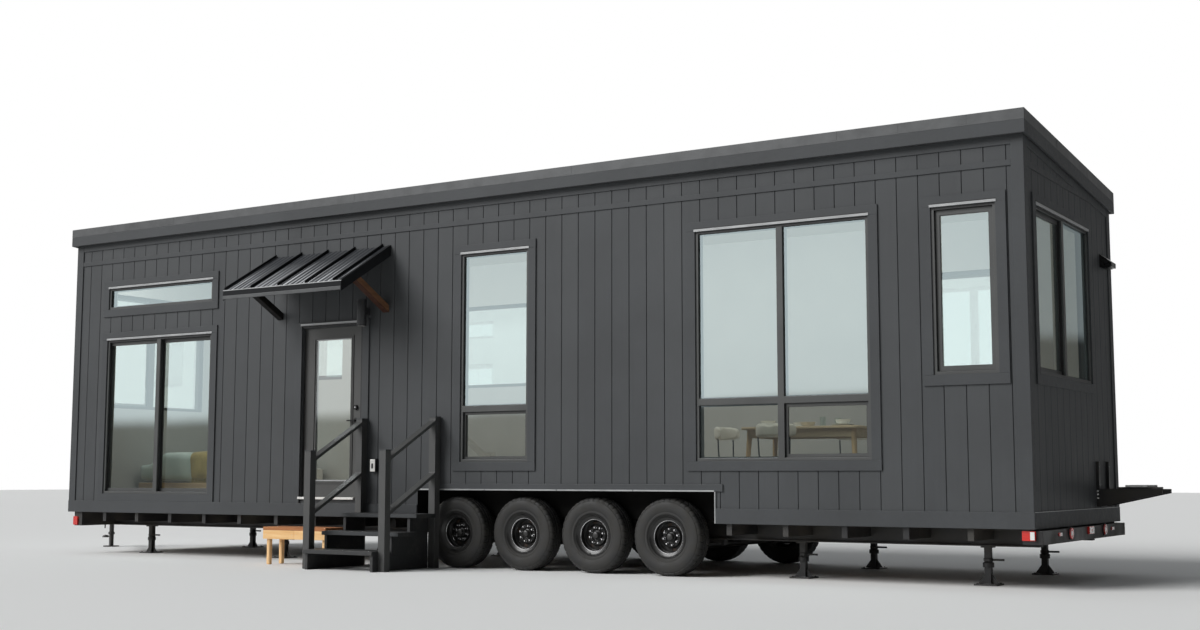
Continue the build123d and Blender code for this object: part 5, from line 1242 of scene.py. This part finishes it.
for step, (front, top) in enumerate(((-0.450, 0.597), (-0.755, 0.407), (-1.060, 0.217))):
    right = 6.124 if step == 2 else 6.232
    if step < 2:
        block(boards, (5.143, right), (front - 0.0025, front + 0.0005), (top - 0.040, top - 0.002))
    for x in (5.21, 5.69, right - 0.07):
        for y in (front + 0.045, front + 0.215):
            turn(screws, [(0.0, 0.0006), (0.0038, 0.0006), (0.0045, -0.001)], at(x, y, top), "z", 10)
block(boards, (5.143, 6.232), (-0.312, -0.302), (0.5975, 0.6005))
finished("worn_nosings", boards, trim_paint, edge=0.001, segments=1)
finished("tread_screws", screws, bright_metal, smooth=35)


# The loose cedar step at the door: bright planed slats on an apron with butt joints and rounded legs.
cedar_wood = stained_wood("planed_cedar", (0.93, 0.66, 0.35), (0.80, 0.46, 0.19), "x")
cedar_leg = stained_wood("planed_cedar_legs", (0.92, 0.66, 0.37), (0.78, 0.46, 0.20), "z")
cedar_top = stained_wood("red_cedar_top", (0.52, 0.23, 0.095), (0.34, 0.13, 0.05), "x")
(x0, x1), (y0, y1), (_, CEDAR_TOP) = span("cedar_step")
SLATS = 4
SLAT_GAP = 0.006
UNDER_SLATS = CEDAR_TOP - 0.0385
middle = (x0 + x1) / 2
pitch = (y1 - y0 + SLAT_GAP) / SLATS
slats = [((x0, x1), (y0 + k * pitch, y0 + (k + 1) * pitch - SLAT_GAP), (CEDAR_TOP - 0.038, CEDAR_TOP))
         for k in range(SLATS)]
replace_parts(finished("cedar_step_slats", blocks(*slats), cedar_top, edge=0.004), "cedar_step")
apron_z = (CEDAR_TOP - 0.138, UNDER_SLATS)
aprons = [(x, (face, face + 0.028), apron_z) for face in (y0 + 0.001, y1 - 0.029)
          for x in ((x0 + 0.001, middle - 0.0008), (middle + 0.0008, x1 - 0.001))]
aprons += [((face, face + 0.028), (y0 + 0.0295, y1 - 0.0295), apron_z) for face in (x0 + 0.001, x1 - 0.029)]
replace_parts(finished("cedar_step_apron", blocks(*aprons), cedar_wood, edge=0.003), "cedar_step")
legs = [((x, x + 0.050), (y, y + 0.050), (0.0, UNDER_SLATS))
        for x in (x0 + 0.0305, x1 - 0.0805) for y in (y0 + 0.0305, y1 - 0.0805)]
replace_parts(finished("cedar_step_legs", blocks(*legs), cedar_leg, edge=0.012, segments=3), "cedar_step")
mesh = bmesh.new()
for x in (x0 + 0.05, middle - 0.03, middle + 0.03, x1 - 0.05):
    for k in range(SLATS):
        spot = at(x, y0 + (k + 0.5) * pitch - SLAT_GAP / 2, CEDAR_TOP)
        turn(mesh, [(0.0, 0.0004), (0.0035, 0.0004), (0.0042, -0.001)], spot, "z", 10)
    turn(mesh, [(0.0, -0.0006), (0.0038, -0.0006), (0.0045, 0.0012)], at(x, y0 + 0.0005, CEDAR_TOP - 0.088), "y", 10)
finished("cedar_step_screws", mesh, bright_metal, smooth=35)


# The bed behind the left window: a low oak base, a mattress with taped edges, two pillows, and a thick pale
# quilt that slopes down at the left and over the foot. A knitted throw hangs over its right corner.
def woven(name, light, dark, thread, depth, sheen, rough=(0.75, 0.92)):
    """Cloth of crossed threads that are as far apart as thread says, in metres."""
    made, tree = material(name)
    where = node(tree, "ShaderNodeTexCoord").outputs["Object"]
    crossed = []
    for way in ("X", "Z"):
        waves = node(tree, "ShaderNodeTexWave", Vector=where, Scale=0.314 / thread, Distortion=1.4, Detail=2.0,
                     Detail_Scale=2.0)
        waves.bands_direction = way
        crossed.append(waves.outputs["Fac"])
    weave = reckon(tree, "MULTIPLY", *crossed)
    faded = drift(tree, 5.0, detail=5.0)
    tone = between(tree, spread(tree, faded, 0.3, 0.7, 0.0, 1.0), light, dark)
    principled(
        tree,
        Base_Color=between(tree, spread(tree, weave, 0.0, 1.0, 0.25, 0.0), tone, dark),
        Roughness=spread(tree, faded, 0.3, 0.7, rough[0], rough[1]),
        Normal=relief(tree, weave, depth, 0.5),
        Sheen_Weight=sheen,
        Sheen_Roughness=0.5,
    )
    return made


def even_mesh(piece, pitch):
    """The piece's closed forms joined into one skin of even squares."""
    skin = piece.modifiers.new("even_skin", "REMESH")
    skin.mode = "VOXEL"
    skin.voxel_size = pitch
    graph = bpy.context.evaluated_depsgraph_get()
    piece.data = bpy.data.meshes.new_from_object(piece.evaluated_get(graph))
    piece.modifiers.clear()


def stuffed(piece, pitch, reach, pressure=4.0, loose=0.0, steps=20):
    """Swells a closed form as its filling does: no point goes further than reach from where it was cut."""
    even_mesh(piece, pitch)
    cut = [v.co.copy() for v in piece.data.vertices]
    cover = piece.modifiers.new("cover_cloth", "CLOTH")
    for name, value in (
        ("quality", 6), ("mass", 0.3), ("tension_stiffness", 12), ("compression_stiffness", 12),
        ("bending_stiffness", 0.4), ("use_pressure", True), ("uniform_pressure_force", pressure),
        ("shrink_min", -loose),
    ):
        setattr(cover.settings, name, value)
    cover.settings.effector_weights.gravity = 0
    cover.point_cache.frame_start, cover.point_cache.frame_end = 1, steps
    for frame_number in range(1, steps + 1):
        bpy.context.scene.frame_set(frame_number)
    graph = bpy.context.evaluated_depsgraph_get()
    swollen = bpy.data.meshes.new_from_object(piece.evaluated_get(graph))
    piece.modifiers.clear()
    piece.data = swollen
    bpy.context.scene.frame_set(1)
    for v, start in zip(swollen.vertices, cut):
        moved = v.co - start
        if moved.length > reach:
            v.co = start + moved * (reach / moved.length)
    piece.data.shade_smooth()
    finer = piece.modifiers.new("smooth_skin", "SUBSURF")
    finer.levels = finer.render_levels = 1


(BED_LEFT, BED_RIGHT), (BED_FOOT, BED_HEAD), (BED_FLOOR, BED_TOP) = span("bed")
oak = stained_wood("pale_oak", (0.60, 0.45, 0.28), (0.44, 0.31, 0.18), "x")
plinth = ((BED_LEFT + 0.06, BED_RIGHT - 0.06), (BED_FOOT + 0.06, BED_HEAD - 0.04), (BED_FLOOR, BED_FLOOR + 0.050))
tray = ((BED_LEFT + 0.02, BED_RIGHT - 0.02), (BED_FOOT + 0.02, BED_HEAD), (BED_FLOOR + 0.050, BED_FLOOR + 0.180))
mesh = blocks(plinth, tray)
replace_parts(finished("bed_base", mesh, oak, edge=0.006), "bed")
sheeting = woven("cotton_sheeting", (0.78, 0.79, 0.76), (0.66, 0.68, 0.66), 0.0016, 0.0004, 0.15)
mattress_cloth = woven("mattress_cover", (0.74, 0.73, 0.69), (0.62, 0.61, 0.57), 0.004, 0.0010, 0.10)
mattress_z = (BED_FLOOR + 0.188, BED_FLOOR + 0.382)
mesh = blocks(((BED_LEFT + 0.066, BED_RIGHT - 0.066), (BED_FOOT + 0.066, BED_HEAD - 0.016), mattress_z))
mattress = finished("bed_mattress", mesh, mattress_cloth, edge=0.030, segments=3)
stuffed(mattress, 0.030, 0.008)
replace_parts(mattress, "bed")


def rounded(x0, x1, y0, y1, radius):
    """A rectangle's outline with round corners, each point with its direction out."""
    points = []
    left, right, near, far = x0 + radius, x1 - radius, y0 + radius, y1 - radius
    for corner, (x, y) in enumerate(((right, near), (right, far), (left, far), (left, near))):
        for k in range(7):
            angle = math.radians(90 * corner - 90 + 15 * k)
            out = Vector((math.cos(angle), math.sin(angle), 0))
            points.append((x + radius * out.x, y + radius * out.y, out))
    return points


TAPE = 0.006
mesh = bmesh.new()
for z in (BED_FLOOR + 0.206, BED_FLOOR + 0.366):
    rings = []
    for x, y, out in rounded(BED_LEFT + 0.062, BED_RIGHT - 0.062, BED_FOOT + 0.062, BED_HEAD - 0.012, 0.05):
        rings.append(circle(mesh, at(x, y, z), out * TAPE, AXES[2] * TAPE, 8))
    loft(mesh, rings + rings[:1])
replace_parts(finished("mattress_tapes", mesh, sheeting, smooth=60), "bed")

PILLOW_POINTS = 28
SQUARISH = 0.42
for word, middle in (("left", 0.96), ("right", 1.58)):
    mesh = bmesh.new()
    outline = []
    for k in range(PILLOW_POINTS):
        angle = 2 * math.pi * k / PILLOW_POINTS
        c, s = (math.copysign(abs(way) ** SQUARISH, way) for way in (math.cos(angle), math.sin(angle)))
        outline.append((middle + 0.275 * c, BED_HEAD - 0.245 + 0.19 * s))
    prism(mesh, outline, "z", BED_FLOOR + 0.425, BED_FLOOR + 0.505)
    pillow = finished(f"pillow_{word}", mesh, sheeting, edge=0.030, segments=3)
    stuffed(pillow, 0.018, 0.034, pressure=7.0, loose=0.03)
    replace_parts(pillow, "bed")

QUILT_HEAD = BED_HEAD - 0.52
QUILT_FOOT = BED_FOOT + 0.014
QUILT_TOP = BED_TOP - 0.028
QUILT_HEM = BED_FLOOR + 0.215
quilt_cloth = woven("quilt_cotton", (0.70, 0.80, 0.74), (0.58, 0.70, 0.64), 0.0022, 0.0006, 0.25)
SLOPE = 0.480
SLOPE_FALL = 0.230
HEM_THICK = 0.042
left, right = BED_LEFT + 0.012, BED_RIGHT - 0.014
under = BED_FLOOR + 0.398
slope = [(left, QUILT_TOP - SLOPE_FALL), (BED_LEFT + SLOPE, QUILT_TOP), (right, QUILT_TOP)]
mesh = bmesh.new()
prism(mesh, [(left, under - 0.02), (right, under - 0.02)] + slope[::-1], "y", QUILT_FOOT, QUILT_HEAD)
for x, y in (
    ((left, left + HEM_THICK), (QUILT_FOOT, QUILT_HEAD)), ((right - HEM_THICK, right), (QUILT_FOOT, QUILT_HEAD)),
    ((left, right), (QUILT_FOOT, QUILT_FOOT + HEM_THICK)),
):
    block(mesh, x, y, (QUILT_HEM, under + 0.01))
quilt = finished("bed_quilt", mesh, quilt_cloth)
even_mesh(quilt, 0.030)
CHANNEL = 0.30
SEAM_WIDTH = 0.07
for v in quilt.data.vertices:
    x, y, z = v.co.x - HOUSE.x, v.co.y - HOUSE.y, v.co.z
    fold = noise.noise(Vector((x * 2.6, y * 2.6, z * 1.5 + 4.0)))
    crease = noise.noise(Vector((x * 7.0, y * 7.0 + 3.0, z * 3.0)))
    if z > under + 0.03:
        channels = (y - QUILT_FOOT) / CHANNEL
        seam = min(abs(channels - round(channels)) * CHANNEL / SEAM_WIDTH, 1.0)
        v.co.z -= 0.018 + 0.014 * (1 - seam) ** 2 - 0.016 * fold - 0.007 * crease
    elif z < under - 0.01 and y < BED_FOOT + 0.10:
        v.co.y += max(0.0, 0.010 * noise.noise(Vector((x * 9.0, y * 9.0, 2.0))))
stuffed(quilt, 0.030, 0.016, pressure=3.0, loose=0.04)
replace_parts(quilt, "bed")

# The throw lies on the quilt and down over its foot: cut 0.62 by 1.30 m, with a rounded corner and a fringe.
throw_wool = woven("throw_wool", (0.50, 0.38, 0.115), (0.30, 0.22, 0.06), 0.009, 0.0035, 0.45, rough=(0.85, 0.97))
mesh = bmesh.new()
THROW = (0.62, 1.30)
ON_THE_BED = 0.95
CORNER_RUN = 0.20
CORNER_CUT = 0.16
LIFT = 0.010
throw_right = right - 0.05
ACROSS, ALONG = 26, 54
quilt_skin = BVHTree.FromObject(quilt, bpy.context.evaluated_depsgraph_get())
grid = []
for j in range(ALONG + 1):
    row = []
    run = THROW[1] * j / ALONG
    drop = run - ON_THE_BED
    corner = CORNER_CUT * (1 - math.sqrt(max(0.0, 1 - max(0.0, 1 - run / CORNER_RUN) ** 2)))
    sway = corner + 0.020 * math.sin(run * 6.0)
    for i in range(ACROSS + 1):
        share = i / ACROSS
        x = throw_right - THROW[0] + share * THROW[0] + sway * (1 - share)
        if drop < 0:
            y = QUILT_FOOT + 0.02 - drop
            hit = quilt_skin.ray_cast(at(x, y, BED_TOP + 0.3), -AXES[2])[0]
            point = hit + AXES[2] * LIFT if hit else at(x, y, QUILT_TOP)
        else:
            z = QUILT_TOP - 0.014 - drop
            hit = quilt_skin.ray_cast(at(x, QUILT_FOOT - 0.3, z), AXES[1])[0]
            point = hit - AXES[1] * LIFT if hit else at(x, QUILT_FOOT - 0.012, z)
        row.append(point)
    grid.append(row)
for _ in range(4):
    eased = [[p.copy() for p in row] for row in grid]
    for j in range(1, ALONG):
        for i in range(1, ACROSS):
            near = (grid[j - 1][i] + grid[j + 1][i] + grid[j][i - 1] + grid[j][i + 1]) / 4
            eased[j][i] = grid[j][i].lerp(near, 0.5)
    grid = eased
for j, row in enumerate(grid):
    for i, point in enumerate(row):
        ripple = 0.004 * math.sin(i * 1.3 + 0.6 * math.sin(j * 0.3)) * max(0.0, j / ALONG - 0.6)
        point += Vector((0, -abs(ripple) * 2, 0.002)) if j > ALONG * 0.72 else Vector((0, 0, 0.003))
verts = [[mesh.verts.new(p) for p in row] for row in grid]
loft(mesh, verts, ring=False)
throw = finished("bed_throw", mesh, throw_wool, smooth=80)
thick = throw.modifiers.new("wool_thickness", "SOLIDIFY")
thick.thickness = 0.007
thick.offset = 0.0
finer = throw.modifiers.new("smooth_wool", "SUBSURF")
finer.levels = finer.render_levels = 1
mesh = bmesh.new()
YARN = ((0.0, 0.0022), (0.02, 0.0026), (0.045, 0.0022), (0.060, 0.0012))
for i, end in enumerate(grid[ALONG]):
    for strand in (-0.006, 0.0, 0.006):
        rings = []
        for k, (fall, radius) in enumerate(YARN):
            middle = end + Vector((strand * (1 + fall * 8), -0.002 + 0.002 * math.sin(i * 2.1 + k), -fall))
            rings.append(circle(mesh, middle, AXES[0] * radius, AXES[1] * radius, 3))
        loft(mesh, rings)
fringe = finished("throw_fringe", mesh, throw_wool, smooth=80)
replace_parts(throw, "bed")
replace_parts(fringe, "bed")


# The dining set behind the wide window: a pale oak table on tapered legs, four round chairs in cream bouclé
# on thin black steel legs, and the crockery that stands on the table.
TABLE = (9.340, 10.700, 1.150, 1.950)
TABLE_TOP = 1.530
DECK = BED_FLOOR
table_oak = stained_wood("table_oak", (0.58, 0.47, 0.32), (0.44, 0.34, 0.21), "x")
leg_oak = stained_wood("table_leg_oak", (0.60, 0.44, 0.25), (0.42, 0.29, 0.15), "z")
x0, x1, y0, y1 = TABLE
mesh = bmesh.new()
prism(mesh, [(x, y) for x, y, _ in rounded(x0, x1, y0, y1, 0.060)], "z", TABLE_TOP - 0.028, TABLE_TOP)
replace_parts(finished("table_top", mesh, table_oak, edge=0.007, segments=3), "dining_set")
mesh = bmesh.new()
for face in (y0 + 0.060, y1 - 0.082):
    block(mesh, (x0 + 0.085, x1 - 0.085), (face, face + 0.022), (TABLE_TOP - 0.115, TABLE_TOP - 0.0285))
for face in (x0 + 0.060, x1 - 0.082):
    block(mesh, (face, face + 0.022), (y0 + 0.085, y1 - 0.085), (TABLE_TOP - 0.115, TABLE_TOP - 0.0285))
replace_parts(finished("table_aprons", mesh, table_oak, edge=0.003), "dining_set")
mesh = bmesh.new()
for sx, x in ((-1, x0 + 0.085), (1, x1 - 0.085)):
    for sy, y in ((-1, y0 + 0.085), (1, y1 - 0.085)):
        rings = []
        for z, radius, lean in ((TABLE_TOP - 0.0285, 0.030, 0.0), (TABLE_TOP - 0.120, 0.029, 0.004),
                                (DECK + 0.30, 0.022, 0.026), (DECK + 0.003, 0.0155, 0.040), (DECK, 0.0135, 0.0405)):
            middle = at(x + sx * lean, y + sy * lean, z)
            rings.append(circle(mesh, middle, AXES[0] * radius, AXES[1] * radius, 20))
        loft(mesh, rings, ends=True)
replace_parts(finished("table_legs", mesh, leg_oak, smooth=40), "dining_set")

cream_boucle = woven("cream_boucle", (0.74, 0.71, 0.63), (0.58, 0.55, 0.47), 0.010, 0.0040, 0.35, rough=(0.86, 0.97))
chair_steel, tree = material("chair_steel")
principled(
    tree,
    Base_Color=between(tree, drift(tree, 20.0), (0.010, 0.010, 0.010), (0.024, 0.023, 0.022)),
    Metallic=0.6,
    Roughness=spread(tree, drift(tree, 45.0), 0.3, 0.7, 0.28, 0.45),
)
CHAIRS = (
    ("left", 9.110, 1.550, 180), ("right", 10.930, 1.400, 0), ("near", 9.900, 0.975, 270), ("far", 10.200, 2.125, 90),
)
mesh = bmesh.new()
seat_side = [(0.0, 0.407), (0.205, 0.408), (0.217, 0.418), (0.217, 0.434), (0.200, 0.444), (0.0, 0.447)]
turn(mesh, seat_side, Vector((0, 0, 0)), "z", 48)
seat = finished("seat_pattern", mesh, cream_boucle)
stuffed(seat, 0.014, 0.010, pressure=5.0)
seat_mesh = seat.data
mesh = bmesh.new()
rings = []
for k in range(25):
    a = math.radians(-72 + 6 * k)
    ease = math.sqrt(max(0.0, 1 - (abs(k - 12) / 12.6) ** 6))
    ring = []
    for m in range(10):
        b = 2 * math.pi * m / 10
        r = 0.234 + 0.010 * math.cos(b)
        ring.append(mesh.verts.new(Vector((r * math.cos(a), r * math.sin(a), 0.740 + 0.088 * ease * math.sin(b)))))
    rings.append(ring)
mesh.faces.new(rings[0])
mesh.faces.new(rings[-1][::-1])
for near, far in zip(rings, rings[1:]):
    for m in range(10):
        n = (m + 1) % 10
        mesh.faces.new((near[m], far[m], far[n], near[n]))
back = finished("back_pattern", mesh, cream_boucle)
stuffed(back, 0.009, 0.010, pressure=5.0)
back_mesh = back.data
for pattern in (seat, back):
    bpy.data.objects.remove(pattern)
chair_frames = bmesh.new()
for word, x, y, facing in CHAIRS:
    spot = Matrix.Translation(at(x, y, DECK)) @ Matrix.Rotation(math.radians(facing), 4, "Z")
    for kind, shared in (("seat", seat_mesh), ("back", back_mesh)):
        copy = shared.copy()
        copy.transform(spot)
        piece = placed(f"chair_{kind}_{word}", copy)
        finer = piece.modifiers.new("smooth_skin", "SUBSURF")
        finer.levels = finer.render_levels = 1
        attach(piece, "house")
        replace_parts(piece, "dining_set")
    runs = []
    for a, b in ((-1, -1), (-1, 1), (1, -1), (1, 1)):
        leg = ((0.125, 0.408, 0.011), (0.150, 0.20, 0.0105), (0.168, 0.0, 0.008))
        runs.append([(out * a, out * b, z, radius) for out, z, radius in leg])
    for side in (-1, 1):
        a = math.radians(side * 52)
        post = ((0.200, 0.410), (0.222, 0.50), (0.230, 0.670))
        runs.append([(out * math.cos(a), out * math.sin(a), z, 0.008) for out, z in post])
    for side in (-1, 1):
        runs.append([(-0.150, -0.150 * side, 0.400, 0.008), (0.150, 0.150 * side, 0.400, 0.008)])
    for run in runs:
        rings = []
        points = [Vector(p[:3]) for p in run]
        for k, (*_, radius) in enumerate(run):
            ahead = (points[min(k + 1, len(run) - 1)] - points[max(k - 1, 0)]).normalized()
            aside = ahead.orthogonal().normalized()
            rings.append(circle(chair_frames, points[k], aside * radius, ahead.cross(aside) * radius, 12))
        for corner in (c for ring in rings for c in ring):
            corner.co = spot @ corner.co
        loft(chair_frames, rings, ends=True)
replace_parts(finished("chair_frames", chair_frames, chair_steel, smooth=50), "dining_set")

glazed_white, tree = material("glazed_stoneware")
speckle = drift(tree, 160.0, detail=4.0)
principled(
    tree,
    Base_Color=between(tree, spread(tree, speckle, 0.60, 0.72, 0.0, 1.0), (0.80, 0.79, 0.74), (0.50, 0.45, 0.36)),
    Roughness=spread(tree, speckle, 0.3, 0.7, 0.18, 0.32),
    Coat_Weight=0.3,
)
mesh = bmesh.new()
PLATE = [
    (0.0, 0.004), (0.075, 0.004), (0.118, 0.013), (0.120, 0.016), (0.117, 0.0165), (0.074, 0.0085), (0.0, 0.0085),
]
BOWL = [
    (0.0, 0.004), (0.040, 0.004), (0.068, 0.022), (0.082, 0.052), (0.084, 0.054), (0.079, 0.053), (0.063, 0.026),
    (0.036, 0.010), (0.0, 0.009),
]
SETTING = (PLATE, PLATE, BOWL)
for px, py, kinds in (
    (9.56, 1.40, SETTING), (9.80, 1.72, (PLATE, BOWL)), (10.02, 1.42, (BOWL,)), (10.42, 1.42, SETTING),
    (10.44, 1.74, (PLATE,)),
):
    rise = TABLE_TOP - 0.0035
    for kind in kinds:
        turn(mesh, kind, at(px, py, rise), "z", 40)
        rise += 0.010
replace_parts(finished("table_crockery", mesh, glazed_white, smooth=35), "dining_set")
tumbler_glass = clear_glass("tumbler_glass", 0.20, (0.95, 0.97, 0.97, 1))
mesh = bmesh.new()
TUMBLER = [(0.0, 0.001), (0.030, 0.001), (0.034, 0.100), (0.0325, 0.101), (0.0285, 0.008), (0.0, 0.008)]
for px, py in ((9.74, 1.36), (10.22, 1.36), (10.26, 1.66)):
    turn(mesh, TUMBLER, at(px, py, TABLE_TOP), "z", 32)
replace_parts(finished("table_tumblers", mesh, tumbler_glass, smooth=35), "dining_set")
